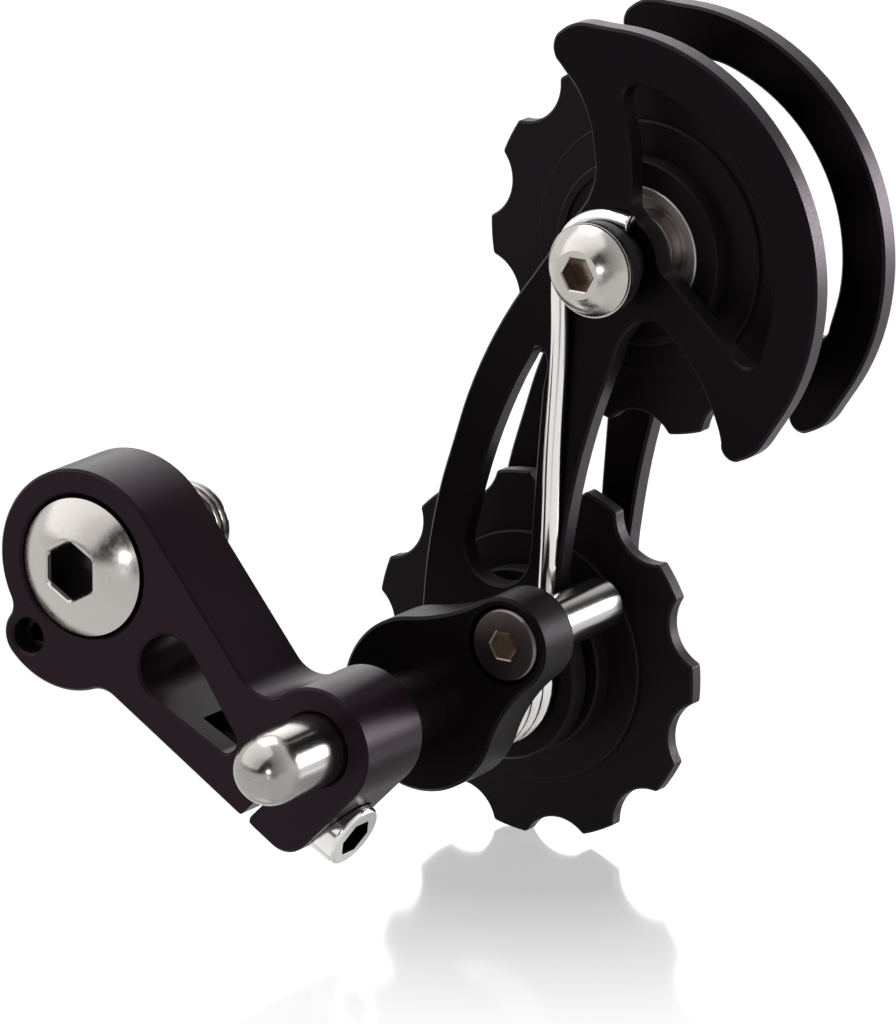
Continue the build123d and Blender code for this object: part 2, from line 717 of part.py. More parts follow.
def leg_window_edges():
    """Closed edge of the long window in the cage's leg."""
    eye = near_pivot(13.44, 4.28)
    right = eye + polar(LEG_WINDOW_R, CAGE_DEG - 67.3)
    left = eye + polar(LEG_WINDOW_R, CAGE_DEG + 78.4)
    top_left, top_right = near_axle(-14.55, 6.78), near_axle(-14.05, 5.0)
    points = thru(top_left, near_axle(-13.45, 6.15), top_right, 4)
    points += thru(top_right, near_pivot(24.4, 2.35), right, 5)
    points += thru(right, eye + polar(LEG_WINDOW_R, CAGE_DEG - 174.0), left, 6)
    points += thru(left, near_pivot(28.0, 8.28), top_left, 5)
    flow(points)


# Front cage plate
axle_at = ALONG * AXLE_PITCH
with BuildPart() as front_plate:
    with BuildSketch(across(SHAFT, PLATE_BACK)):
        with BuildLine():
            plate_edges()
        make_face()
        with BuildLine():
            window_edges()
        make_face(mode=Mode.SUBTRACT)
        with BuildLine():
            leg_window_edges()
        make_face(mode=Mode.SUBTRACT)
    extrude(amount=PLATE_T)
    chamfer(front_plate.faces().sort_by(Axis.Y)[0].edges(), PLATE_EDGE)
    chamfer(front_plate.faces().sort_by(Axis.Y)[-1].edges(), PLATE_EDGE)
    with BuildSketch(across(SHAFT, PLATE_BACK)):
        Circle(SHAFT_R + RUN)
        with Locations(axle_at):
            Circle(AXLE_R + FIT)
    extrude(amount=PLATE_T, mode=Mode.SUBTRACT)
front_plate.part.label = "front_plate"
export_step(front_plate.part, "parts/front_plate.step")

# Rear cage plate
with BuildPart() as rear_plate:
    with BuildSketch(across(SHAFT, REAR_BACK)):
        with BuildLine():
            plate_edges()
        make_face()
        with BuildLine():
            window_edges()
        make_face(mode=Mode.SUBTRACT)
        with BuildLine():
            leg_window_edges()
        make_face(mode=Mode.SUBTRACT)
    extrude(amount=PLATE_T)
    chamfer(rear_plate.faces().sort_by(Axis.Y)[0].edges(), PLATE_EDGE)
    chamfer(rear_plate.faces().sort_by(Axis.Y)[-1].edges(), PLATE_EDGE)
    with BuildSketch(across(SHAFT, REAR_BACK)):
        Circle(SHAFT_R + RUN)
        with Locations(axle_at):
            Circle(AXLE_R + FIT)
    extrude(amount=PLATE_T, mode=Mode.SUBTRACT)
rear_plate.part.label = "rear_plate"
export_step(rear_plate.part, "parts/rear_plate.step")

# Upper axle bolt
axle_rim = UNDER_HEAD - AXLE_RIM_H
axle_top = axle_rim - AXLE_DOME_H
axle_end = REAR_BACK + AXLE_TAIL
with BuildPart() as upper_bolt:
    with BuildSketch(lengthwise(AXLE)):
        with BuildLine():
            Line((0, axle_top), (AXLE_HEAD_TOP_R, axle_top))
            dome(AXLE_HEAD_TOP_R, axle_top, AXLE_HEAD_R - AXLE_GROOVE, axle_rim)
            Polyline(
                (AXLE_HEAD_R - AXLE_GROOVE, axle_rim),
                (AXLE_HEAD_R - 2 * AXLE_GROOVE, axle_rim),
                (AXLE_HEAD_R - 2 * AXLE_GROOVE, axle_rim + AXLE_GROOVE),
                (AXLE_HEAD_R, axle_rim + AXLE_GROOVE),
                (AXLE_HEAD_R, UNDER_HEAD),
                (AXLE_R, UNDER_HEAD),
                (AXLE_R, axle_end - 0.5),
                (AXLE_R - 0.5, axle_end),
                (0, axle_end),
                (0, axle_top),
            )
        make_face()
    revolve(axis=spin_axis(AXLE))
    with BuildSketch(across(AXLE, axle_top + AXLE_HEX_DEPTH)):
        RegularPolygon(AXLE_HEX / 2, 6, major_radius=False)
    extrude(amount=AXLE_HEX_DEPTH + 1, mode=Mode.SUBTRACT)
    chamfer(upper_bolt.faces().sort_by(Axis.Y)[0].inner_wires().edges(), HEX_EDGE)
upper_bolt.part.label = "upper_bolt"
export_step(upper_bolt.part, "parts/upper_bolt.step")

# Hook spacer under the upper bolt's head
with BuildPart() as hook_spacer:
    with BuildSketch(across(AXLE, UNDER_HEAD + FLANGE_T)):
        Circle(FLANGE_R)
        Circle(AXLE_R + FIT, mode=Mode.SUBTRACT)
    extrude(amount=FLANGE_T)
    with BuildSketch(across(AXLE, PLATE_FRONT)):
        Circle(HOOK_NECK_R)
        Circle(AXLE_R + FIT, mode=Mode.SUBTRACT)
    extrude(amount=NECK_H)
hook_spacer.part.label = "hook_spacer"
export_step(hook_spacer.part, "parts/hook_spacer.step")


def pulley_half(bearing_r):
    """Half section of a pulley's body, from the bearing seat out to the disc's rim."""
    seat_r = bearing_r + FIT
    hub_y = HUB_T / 2
    Polyline(
        (seat_r, MID_Y - hub_y + HUB_SINK),
        (HUB_R - HUB_RIM, MID_Y - hub_y + HUB_SINK),
        (HUB_R - HUB_RIM, MID_Y - hub_y),
        (HUB_R - 0.2, MID_Y - hub_y),
        (HUB_R, MID_Y - hub_y + 0.2),
        (HUB_R, MID_Y - DISC_T / 2),
        (DISC_R - 0.2, MID_Y - DISC_T / 2),
        (DISC_R, MID_Y - DISC_T / 2 + 0.2),
        (DISC_R, MID_Y + DISC_T / 2 - 0.2),
        (DISC_R - 0.2, MID_Y + DISC_T / 2),
        (HUB_R, MID_Y + DISC_T / 2),
        (HUB_R, MID_Y + hub_y - 0.2),
        (HUB_R - 0.2, MID_Y + hub_y),
        (HUB_R - HUB_RIM, MID_Y + hub_y),
        (HUB_R - HUB_RIM, MID_Y + hub_y - HUB_SINK),
        (seat_r, MID_Y + hub_y - HUB_SINK),
        close=True,
    )


VALLEY_DEG = 180 / TEETH
VALLEY_R = VALLEY_PITCH - (TIP_R - TOOTH_H)


def toothed_rim(sketch, tooth_deg):
    """Toothed rim of a pulley in the open sketch, with rounded tooth corners."""
    with Locations(Location((0, 0, 0), (0, 0, tooth_deg + VALLEY_DEG))):
        Circle(TIP_R)
    with PolarLocations(VALLEY_PITCH, TEETH, start_angle=tooth_deg + VALLEY_DEG):
        Circle(VALLEY_R, mode=Mode.SUBTRACT)
    fillet(sketch.vertices(), TOOTH_CORNER_R)
    Circle(HUB_R - HUB_RIM, mode=Mode.SUBTRACT)


# Lower pulley
with BuildPart() as lower_pulley:
    with BuildSketch(across(SHAFT, MID_Y)) as lower_teeth:
        toothed_rim(lower_teeth, LOWER_TOOTH_DEG)
    extrude(amount=TOOTH_T / 2, both=True)
    chamfer(lower_pulley.faces().sort_by(Axis.Y)[0].outer_wire().edges(), TOOTH_EDGE)
    chamfer(lower_pulley.faces().sort_by(Axis.Y)[-1].outer_wire().edges(), TOOTH_EDGE)
    with BuildSketch(lengthwise(SHAFT)):
        with BuildLine():
            pulley_half(LOWER_BEARING_R)
        make_face()
    revolve(axis=spin_axis(SHAFT))
lower_pulley.part.label = "lower_pulley"
export_step(lower_pulley.part, "parts/lower_pulley.step")

# Upper pulley
with BuildPart() as upper_pulley:
    with BuildSketch(across(AXLE, MID_Y)) as upper_teeth:
        toothed_rim(upper_teeth, UPPER_TOOTH_DEG)
    extrude(amount=TOOTH_T / 2, both=True)
    chamfer(upper_pulley.faces().sort_by(Axis.Y)[0].outer_wire().edges(), TOOTH_EDGE)
    chamfer(upper_pulley.faces().sort_by(Axis.Y)[-1].outer_wire().edges(), TOOTH_EDGE)
    with BuildSketch(lengthwise(AXLE)):
        with BuildLine():
            pulley_half(UPPER_BEARING_R)
        make_face()
    revolve(axis=spin_axis(AXLE))
upper_pulley.part.label = "upper_pulley"
export_step(upper_pulley.part, "parts/upper_pulley.step")

# Lower bearing
lower_inner_r = SHAFT_R + FIT + INNER_RACE_T
lower_track_r = LOWER_BEARING_R - RACE_T
with BuildPart() as lower_bearing_outer:
    with BuildSketch(across(SHAFT, RACE_BACK)):
        Circle(LOWER_BEARING_R)
        Circle(lower_track_r, mode=Mode.SUBTRACT)
    extrude(amount=BEARING_T)
    chamfer(lower_bearing_outer.edges().filter_by(GeomType.CIRCLE), 0.2)
lower_bearing_outer.part.label = "lower_bearing_outer"
export_step(lower_bearing_outer.part, "parts/lower_bearing_outer.step")

with BuildPart() as lower_bearing_inner:
    with BuildSketch(across(SHAFT, RACE_BACK)):
        Circle(lower_inner_r)
        Circle(SHAFT_R + FIT, mode=Mode.SUBTRACT)
    extrude(amount=BEARING_T)
lower_bearing_inner.part.label = "lower_bearing_inner"
export_step(lower_bearing_inner.part, "parts/lower_bearing_inner.step")

with BuildPart() as lower_shield_front:
    with BuildSketch(across(SHAFT, RACE_FRONT + SHIELD_SINK + SHIELD_T)):
        Circle(lower_track_r - FIT)
        Circle(lower_inner_r + RUN, mode=Mode.SUBTRACT)
    extrude(amount=SHIELD_T)
lower_shield_front.part.label = "lower_shield_front"
export_step(lower_shield_front.part, "parts/lower_shield_front.step")

with BuildPart() as lower_shield_rear:
    with BuildSketch(across(SHAFT, RACE_BACK - SHIELD_SINK)):
        Circle(lower_track_r - FIT)
        Circle(lower_inner_r + RUN, mode=Mode.SUBTRACT)
    extrude(amount=SHIELD_T)
lower_shield_rear.part.label = "lower_shield_rear"
export_step(lower_shield_rear.part, "parts/lower_shield_rear.step")

lower_ball_r = (lower_track_r - lower_inner_r - BALL_GAP - FIT) / 2
with BuildPart() as lower_balls:
    with Locations(across(SHAFT, MID_Y)):
        with PolarLocations(lower_track_r - FIT - lower_ball_r, BALLS):
            Sphere(lower_ball_r)
lower_balls.part.label = "lower_balls"
export_step(lower_balls.part, "parts/lower_balls.step")

with BuildPart() as lower_spacer_front:
    with BuildSketch(across(SHAFT, RACE_FRONT)):
        Circle(lower_inner_r - FACE_GAP)
        Circle(SHAFT_R + FIT, mode=Mode.SUBTRACT)
    extrude(amount=RACE_FRONT - PLATE_BACK - FACE_GAP)
lower_spacer_front.part.label = "lower_spacer_front"
export_step(lower_spacer_front.part, "parts/lower_spacer_front.step")

with BuildPart() as lower_spacer_rear:
    with BuildSketch(across(SHAFT, REAR_FRONT - FACE_GAP)):
        Circle(lower_inner_r - FACE_GAP)
        Circle(SHAFT_R + FIT, mode=Mode.SUBTRACT)
    extrude(amount=REAR_FRONT - FACE_GAP - RACE_BACK)
lower_spacer_rear.part.label = "lower_spacer_rear"
export_step(lower_spacer_rear.part, "parts/lower_spacer_rear.step")

# Upper bearing
upper_inner_r = AXLE_R + FIT + INNER_RACE_T
upper_track_r = UPPER_BEARING_R - RACE_T
with BuildPart() as upper_bearing_outer:
    with BuildSketch(across(AXLE, RACE_BACK)):
        Circle(UPPER_BEARING_R)
        Circle(upper_track_r, mode=Mode.SUBTRACT)
    extrude(amount=BEARING_T)
    chamfer(upper_bearing_outer.edges().filter_by(GeomType.CIRCLE), 0.2)
upper_bearing_outer.part.label = "upper_bearing_outer"
export_step(upper_bearing_outer.part, "parts/upper_bearing_outer.step")

with BuildPart() as upper_bearing_inner:
    with BuildSketch(across(AXLE, RACE_BACK)):
        Circle(upper_inner_r)
        Circle(AXLE_R + FIT, mode=Mode.SUBTRACT)
    extrude(amount=BEARING_T)
upper_bearing_inner.part.label = "upper_bearing_inner"
export_step(upper_bearing_inner.part, "parts/upper_bearing_inner.step")

with BuildPart() as upper_shield_front:
    with BuildSketch(across(AXLE, RACE_FRONT + SHIELD_SINK + SHIELD_T)):
        Circle(upper_track_r - FIT)
        Circle(upper_inner_r + RUN, mode=Mode.SUBTRACT)
    extrude(amount=SHIELD_T)
upper_shield_front.part.label = "upper_shield_front"
export_step(upper_shield_front.part, "parts/upper_shield_front.step")

with BuildPart() as upper_shield_rear:
    with BuildSketch(across(AXLE, RACE_BACK - SHIELD_SINK)):
        Circle(upper_track_r - FIT)
        Circle(upper_inner_r + RUN, mode=Mode.SUBTRACT)
    extrude(amount=SHIELD_T)
upper_shield_rear.part.label = "upper_shield_rear"
export_step(upper_shield_rear.part, "parts/upper_shield_rear.step")

upper_ball_r = (upper_track_r - upper_inner_r - BALL_GAP - FIT) / 2
with BuildPart() as upper_balls:
    with Locations(across(AXLE, MID_Y)):
        with PolarLocations(upper_track_r - FIT - upper_ball_r, BALLS):
            Sphere(upper_ball_r)
upper_balls.part.label = "upper_balls"
export_step(upper_balls.part, "parts/upper_balls.step")

with BuildPart() as upper_spacer_front:
    with BuildSketch(across(AXLE, RACE_FRONT)):
        Circle(upper_inner_r - FACE_GAP)
        Circle(AXLE_R + FIT, mode=Mode.SUBTRACT)
    extrude(amount=RACE_FRONT - PLATE_BACK)
upper_spacer_front.part.label = "upper_spacer_front"
export_step(upper_spacer_front.part, "parts/upper_spacer_front.step")

with BuildPart() as upper_spacer_rear:
    with BuildSketch(across(AXLE, REAR_FRONT)):
        Circle(upper_inner_r - FACE_GAP)
        Circle(AXLE_R + FIT, mode=Mode.SUBTRACT)
    extrude(amount=REAR_FRONT - RACE_BACK)
upper_spacer_rear.part.label = "upper_spacer_rear"
export_step(upper_spacer_rear.part, "parts/upper_spacer_rear.step")

# Washer and screw on the shaft's end
washer_back = SHAFT_END + WASHER_T
with BuildPart() as end_washer:
    with BuildSketch(across(SHAFT, washer_back)):
        Circle(WASHER_R)
        Circle(END_SCREW_R + FIT, mode=Mode.SUBTRACT)
    extrude(amount=WASHER_T)
    chamfer(end_washer.edges().sort_by(SortBy.LENGTH)[-2:], 0.2)
end_washer.part.label = "end_washer"
export_step(end_washer.part, "parts/end_washer.step")

end_top = washer_back + END_HEAD_H
with BuildPart() as end_screw:
    with BuildSketch(lengthwise(SHAFT)):
        with BuildLine():
            Line((0, end_top), (END_HEAD_R * 0.5, end_top))
            dome(END_HEAD_R * 0.5, end_top, END_HEAD_R, washer_back + 0.6)
            Polyline(
                (END_HEAD_R, washer_back + 0.6),
                (END_HEAD_R, washer_back),
                (END_SCREW_R, washer_back),
                (END_SCREW_R, SHAFT_END - END_SCREW_L + 1),
                (0, SHAFT_END - END_SCREW_L + 1),
                (0, end_top),
            )
        make_face()
    revolve(axis=spin_axis(SHAFT))
    with BuildSketch(across(SHAFT, end_top + 1)):
        RegularPolygon(END_HEX / 2, 6, major_radius=False)
    extrude(amount=END_HEAD_H, mode=Mode.SUBTRACT)
end_screw.part.label = "end_screw"
export_step(end_screw.part, "parts/end_screw.step")
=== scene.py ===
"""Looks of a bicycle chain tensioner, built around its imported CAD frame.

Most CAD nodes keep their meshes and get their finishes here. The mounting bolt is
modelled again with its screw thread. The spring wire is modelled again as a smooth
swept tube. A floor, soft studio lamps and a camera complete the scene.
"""

from __future__ import annotations

import logging
import math
from dataclasses import dataclass, replace
from enum import Enum

import bmesh
import bpy
import numpy as np
from mathutils import Matrix, Vector

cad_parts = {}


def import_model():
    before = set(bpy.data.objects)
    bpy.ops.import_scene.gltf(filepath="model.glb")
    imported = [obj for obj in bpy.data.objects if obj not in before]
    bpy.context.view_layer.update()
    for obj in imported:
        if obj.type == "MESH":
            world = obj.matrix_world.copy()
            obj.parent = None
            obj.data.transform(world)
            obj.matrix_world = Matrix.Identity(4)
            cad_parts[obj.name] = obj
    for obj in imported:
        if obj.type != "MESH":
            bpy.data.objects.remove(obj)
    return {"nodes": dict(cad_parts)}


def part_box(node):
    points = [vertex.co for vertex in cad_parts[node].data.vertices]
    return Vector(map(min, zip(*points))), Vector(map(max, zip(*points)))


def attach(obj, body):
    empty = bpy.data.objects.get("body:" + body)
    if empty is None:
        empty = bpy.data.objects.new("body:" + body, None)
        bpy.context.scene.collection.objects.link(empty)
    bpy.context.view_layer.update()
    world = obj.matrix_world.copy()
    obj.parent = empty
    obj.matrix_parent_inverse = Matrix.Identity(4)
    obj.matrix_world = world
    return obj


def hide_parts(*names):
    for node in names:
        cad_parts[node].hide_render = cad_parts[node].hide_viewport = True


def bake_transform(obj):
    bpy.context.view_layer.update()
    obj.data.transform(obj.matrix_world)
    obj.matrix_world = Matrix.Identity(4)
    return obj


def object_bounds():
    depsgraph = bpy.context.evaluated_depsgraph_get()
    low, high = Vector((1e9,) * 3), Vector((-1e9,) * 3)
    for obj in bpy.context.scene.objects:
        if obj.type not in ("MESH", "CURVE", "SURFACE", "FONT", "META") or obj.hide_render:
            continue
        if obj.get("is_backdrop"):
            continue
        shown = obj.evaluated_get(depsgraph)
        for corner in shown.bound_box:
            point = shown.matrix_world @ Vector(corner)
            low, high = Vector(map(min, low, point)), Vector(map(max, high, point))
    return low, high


LOG = logging.getLogger("chain_tensioner")
MM = 0.001
# Distance in metres below which two vertices are one
WELD = 1e-7
# Vector operations whose result is one number
SCALAR_RESULTS = ("DISTANCE", "DOT_PRODUCT", "LENGTH")
# Linear colours painted inside the hex sockets: painted shade in the mount, clamp and axle sockets,
# and painted light in the link screw's socket, which is lighter than its head
MOUNT_SOCKET_PAINTED_SHADE = (0.05, 0.045, 0.045)
CLAMP_SOCKET_PAINTED_SHADE = (0.06, 0.055, 0.052)
LINK_SOCKET_PAINTED_LIGHT = (0.3, 0.24, 0.19)
AXLE_SOCKET_PAINTED_SHADE = (0.3, 0.235, 0.19)


def vector_node(
    tree: bpy.types.NodeTree,
    operation: str,
    first: bpy.types.NodeSocket,
    second: Vector | tuple[float, float, float] = (0.0, 0.0, 0.0),
) -> bpy.types.NodeSocket:
    """Adds a vector math node.

    Args:
        tree: Node tree that gets it.
        operation: Its operation.
        first: Socket of the first vector.
        second: The second vector.

    Returns:
        The socket with its result.
    """
    node = tree.nodes.new("ShaderNodeVectorMath")
    node.operation = operation
    node.inputs[1].default_value = second
    tree.links.new(first, node.inputs[0])
    return node.outputs["Value" if operation in SCALAR_RESULTS else "Vector"]


def math_node(
    tree: bpy.types.NodeTree,
    operation: str,
    first: bpy.types.NodeSocket,
    second: bpy.types.NodeSocket | float = 0.0,
) -> bpy.types.NodeSocket:
    """Adds a math node.

    Args:
        tree: Node tree that gets it.
        operation: Its operation.
        first: Socket of the first value.
        second: Socket of the second value, or the value.

    Returns:
        The socket with its result.
    """
    node = tree.nodes.new("ShaderNodeMath")
    node.operation = operation
    tree.links.new(first, node.inputs[0])
    if isinstance(second, float):
        node.inputs[1].default_value = second
    else:
        tree.links.new(second, node.inputs[1])
    return node.outputs[0]


def range_node(
    tree: bpy.types.NodeTree,
    value: bpy.types.NodeSocket,
    span: tuple[float, float],
    result: tuple[float, float] = (0.0, 1.0),
) -> bpy.types.NodeSocket:
    """Adds a node that maps one range of values to another and holds its ends.

    Args:
        tree: Node tree that gets it.
        value: Socket of the value.
        span: Range that comes in.
        result: Range that goes out.

    Returns:
        The socket with its result.
    """
    node = tree.nodes.new("ShaderNodeMapRange")
    node.inputs["From Min"].default_value = span[0]
    node.inputs["From Max"].default_value = span[1]
    node.inputs["To Min"].default_value = result[0]
    node.inputs["To Max"].default_value = result[1]
    tree.links.new(value, node.inputs["Value"])
    return node.outputs["Result"]


def ray_kinds(tree: bpy.types.NodeTree) -> tuple[bpy.types.NodeSocket, bpy.types.NodeSocket]:
    """Adds the nodes that tell the kinds of ray apart.

    Args:
        tree: Node tree that gets them.

    Returns:
        Sockets that are 1 for camera rays, and for glossy or transmission rays.
    """
    path = tree.nodes.new("ShaderNodeLightPath")
    glossy = path.outputs["Is Glossy Ray"]
    shiny = math_node(tree, "MAXIMUM", glossy, path.outputs["Is Transmission Ray"])
    return path.outputs["Is Camera Ray"], shiny


def grey(level: float) -> tuple[float, float, float, float]:
    """Makes an opaque grey.

    Args:
        level: Its linear level.

    Returns:
        The colour with its alpha.
    """
    return (level, level, level, 1.0)


class Grain(Enum):
    """How a finish breaks up the light that it reflects."""

    SMOOTH = "smooth"
    BLASTED = "blasted"
    TURNED = "turned"


@dataclass(frozen=True)
class Socket:
    """The hex socket of a screw, where a painted colour stands in for the light and shade inside it.

    Attributes:
        mouth: Point on the screw's axis, at the mouth of the socket.
        outward: Unit vector out of the socket.
        radius: Radius of the socket's corners.
        depth: Depth of the socket.
        colour: Linear colour painted inside it for its light and shade.
        bevel: Depth of the bright bevel at its mouth.
    """

    mouth: tuple[float, float, float]
    outward: tuple[float, float, float]
    radius: float
    depth: float
    colour: tuple[float, float, float]
    bevel: float = 0.16 * MM


@dataclass(frozen=True)
class Finish:
    """One surface finish, as the values of a shader.

    Attributes:
        name: Name of the material.
        colour: Linear base colour.
        metallic: 1 for bare metal, 0 for a coating or plastic.
        roughness: Middle roughness of the surface.
        specular: Specular level of a surface that isn't bare metal.
        edge_specular: The same on a plate's cut edges, or 0 where they look like its faces.
        tint: Colour of its mirror reflection.
        grain: Kind of fine texture.
        grain_size: Size of one grain in metres.
        relief: Depth of the grain in metres.
        spread: How far the roughness varies to each side.
    """

    name: str
    colour: tuple[float, float, float]
    metallic: float
    roughness: float
    specular: float = 0.5
    edge_specular: float = 0.0
    tint: tuple[float, float, float] = (1.0, 1.0, 1.0)
    grain: Grain = Grain.SMOOTH
    grain_size: float = 0.0003
    relief: float = 0.000004
    spread: float = 0.05

    def material(self, owner: str = "", socket: Socket | None = None) -> bpy.types.Material:
        """Makes the material, or returns the one that is already there.

        Args:
            owner: Piece that has the material to itself, if it has a socket.
            socket: Hex socket whose light and shade are painted in.

        Returns:
            The material of this finish.
        """
        name = f"{self.name}_{owner}_look" if owner else f"{self.name}_look"
        made = bpy.data.materials.get(name)
        if made is not None:
            return made
        made = bpy.data.materials.new(name)
        made.use_nodes = True
        tree = made.node_tree
        shader = tree.nodes["Principled BSDF"]
        shader.inputs["Base Color"].default_value = (*self.colour, 1.0)
        shader.inputs["Metallic"].default_value = self.metallic
        shader.inputs["Roughness"].default_value = self.roughness
        shader.inputs["Specular IOR Level"].default_value = self.specular
        shader.inputs["Specular Tint"].default_value = (*self.tint, 1.0)
        if self.grain is not Grain.SMOOTH:
            self._add_grain(tree, shader)
        if self.edge_specular:
            self._add_edges(tree, shader)
        if socket is not None:
            self._add_socket(tree, shader, socket)
        return made

    def _add_edges(self, tree: bpy.types.NodeTree, shader: bpy.types.Node) -> None:
        """Makes the cut edges of an upright plate shinier than its faces.

        Args:
            tree: Node tree of the material.
            shader: Its shader node.
        """
        edge_to_face = (0.3, 0.8)
        place = tree.nodes.new("ShaderNodeTexCoord")
        split = tree.nodes.new("ShaderNodeSeparateXYZ")
        tree.links.new(place.outputs["Normal"], split.inputs["Vector"])
        tilt = math_node(tree, "ABSOLUTE", split.outputs["Y"])
        level = range_node(tree, tilt, edge_to_face, (self.edge_specular, self.specular))
        tree.links.new(level, shader.inputs["Specular IOR Level"])

    def _add_socket(
        self, tree: bpy.types.NodeTree, shader: bpy.types.Node, socket: Socket
    ) -> None:
        """Paints the light and shade inside a hex socket into the colour.

        Args:
            tree: Node tree of the material.
            shader: Its shader node.
            socket: The socket.
        """
        lowest = 1.5 * socket.depth
        place = tree.nodes.new("ShaderNodeTexCoord")
        offset = vector_node(tree, "SUBTRACT", place.outputs["Object"], socket.mouth)
        sideways = vector_node(tree, "CROSS_PRODUCT", offset, socket.outward)
        reach = vector_node(tree, "LENGTH", sideways)
        height = vector_node(tree, "DOT_PRODUCT", offset, socket.outward)
        inside = math_node(tree, "LESS_THAN", reach, socket.radius)
        below = math_node(tree, "LESS_THAN", height, -socket.bevel)
        above = math_node(tree, "GREATER_THAN", height, -lowest)
        span = math_node(tree, "MULTIPLY", below, above)
        both = math_node(tree, "MULTIPLY", inside, span)
        # Mixes the painted socket colour, mostly painted shade, into the base colour inside the
        # socket
        mix = tree.nodes.new("ShaderNodeMix")
        mix.data_type = "RGBA"
        factor, plain, dark, mixed = 0, 6, 7, 2
        mix.inputs[plain].default_value = (*self.colour, 1.0)
        mix.inputs[dark].default_value = (*socket.colour, 1.0)
        tree.links.new(both, mix.inputs[factor])
        tree.links.new(mix.outputs[mixed], shader.inputs["Base Color"])

    def _add_grain(self, tree: bpy.types.NodeTree, shader: bpy.types.Node) -> None:
        """Adds the fine texture to the roughness and the relief.

        Args:
            tree: Node tree of the material.
            shader: Its shader node.
        """
        turned_stretch = 0.04
        noise_span = (0.3, 0.7)
        noise_detail = 2.0
        smoothest = 0.02
        place = tree.nodes.new("ShaderNodeTexCoord")
        stretch = tree.nodes.new("ShaderNodeMapping")
        across = 1.0 / self.grain_size
        along = across if self.grain is Grain.BLASTED else across * turned_stretch
        stretch.inputs["Scale"].default_value = (along, across, along)
        noise = tree.nodes.new("ShaderNodeTexNoise")
        noise.inputs["Scale"].default_value = 1.0
        noise.inputs["Detail"].default_value = noise_detail
        bump = tree.nodes.new("ShaderNodeBump")
        bump.inputs["Strength"].default_value = 1.0
        bump.inputs["Distance"].default_value = self.relief
        links = tree.links
        links.new(place.outputs["Object"], stretch.inputs["Vector"])
        links.new(stretch.outputs["Vector"], noise.inputs["Vector"])
        limits = (max(smoothest, self.roughness - self.spread), self.roughness + self.spread)
        level = range_node(tree, noise.outputs["Fac"], noise_span, limits)
        links.new(level, shader.inputs["Roughness"])
        links.new(noise.outputs["Fac"], bump.inputs["Height"])
        links.new(bump.outputs["Normal"], shader.inputs["Normal"])


BLACK_ANODISED = Finish(
    name="black_anodised",
    colour=(0.0118, 0.0056, 0.0088),
    metallic=0.0,
    roughness=0.34,
    specular=0.18,
    tint=(1.0, 0.74, 0.92),
    grain=Grain.BLASTED,
    grain_size=0.00022,
    relief=0.000004,
    spread=0.06,
)
# Painted shade: the black anodised finish made darker and duller for the cage plates, which get less
# light than the arm; the metal is the same
PLATE_BLACK_SHADED = Finish(
    name="plate_black",
    colour=(0.0012, 0.0006, 0.001),
    metallic=0.0,
    roughness=0.42,
    specular=0.1,
    edge_specular=0.58,
    tint=(1.0, 0.78, 0.94),
    grain=Grain.BLASTED,
    grain_size=0.00022,
    relief=0.000004,
    spread=0.06,
)
# The same painted shade for the link, with duller cut edges
LINK_BLACK_SHADED = replace(PLATE_BLACK_SHADED, name="link_black_shaded", edge_specular=0.15)
PULLEY_BLACK = Finish(
    name="pulley_black",
    colour=(0.0066, 0.0048, 0.006),
    metallic=0.0,
    roughness=0.5,
    specular=0.13,
    edge_specular=0.4,
    tint=(1.0, 0.82, 0.95),
    grain=Grain.BLASTED,
    grain_size=0.0005,
    relief=0.000004,
    spread=0.05,
)
BOLT_STEEL = Finish(
    name="bolt_steel",
    colour=(0.58, 0.55, 0.515),
    metallic=1.0,
    roughness=0.23,
    grain=Grain.BLASTED,
    grain_size=0.0006,
    relief=0.000002,
    spread=0.05,
)
SCREW_STEEL = Finish(
    name="screw_steel",
    colour=(0.2, 0.168, 0.16),
    metallic=1.0,
    roughness=0.22,
)
POLISHED_STEEL = Finish(
    name="polished_steel",
    colour=(0.42, 0.406, 0.388),
    metallic=1.0,
    roughness=0.19,
    grain=Grain.TURNED,
    grain_size=0.00012,
    relief=0.0000012,
    spread=0.03,
)
SPRING_STEEL = Finish(
    name="spring_wire",
    colour=(0.94, 0.925, 0.895),
    metallic=1.0,
    roughness=0.14,
)
BEARING_STEEL = Finish(
    name="bearing_steel",
    colour=(0.7, 0.67, 0.64),
    metallic=1.0,
    roughness=0.42,
)
GRUB_DARK = Finish(
    name="grub_dark",
    colour=(0.035, 0.029, 0.029),
    metallic=1.0,
    roughness=0.3,
)
BUSH_DARK = Finish(
    name="dark_bush",
    colour=(0.035, 0.034, 0.037),
    metallic=0.0,
    roughness=0.38,
    specular=0.4,
)
SHIELD_STEEL = Finish(
    name="shield",
    colour=(0.42, 0.36, 0.335),
    metallic=1.0,
    roughness=0.42,
    grain=Grain.TURNED,
    grain_size=0.0004,
    relief=0.000003,
)


def dress(
    nodes: dict[str, bpy.types.Object],
    name: str,
    finish: Finish,
    socket: Socket | None = None,
) -> None:
    """Gives a CAD node its finish.

    Args:
        nodes: The CAD nodes by name.
        name: Node to dress.
        finish: Finish that it gets.
        socket: Hex socket of a screw.
    """
    node = nodes[name]
    node.data.materials.clear()
    owner = name if socket else ""
    node.data.materials.append(finish.material(owner, socket))
    LOG.info("%s: %s", name, finish.name)


def hex_corner(across_flats: float) -> float:
    """Works out how far a hex key's corners lie from its axis.

    Args:
        across_flats: Size of the key.

    Returns:
        The radius of its corners.
    """
    return across_flats / 2 / math.cos(math.pi / 6)


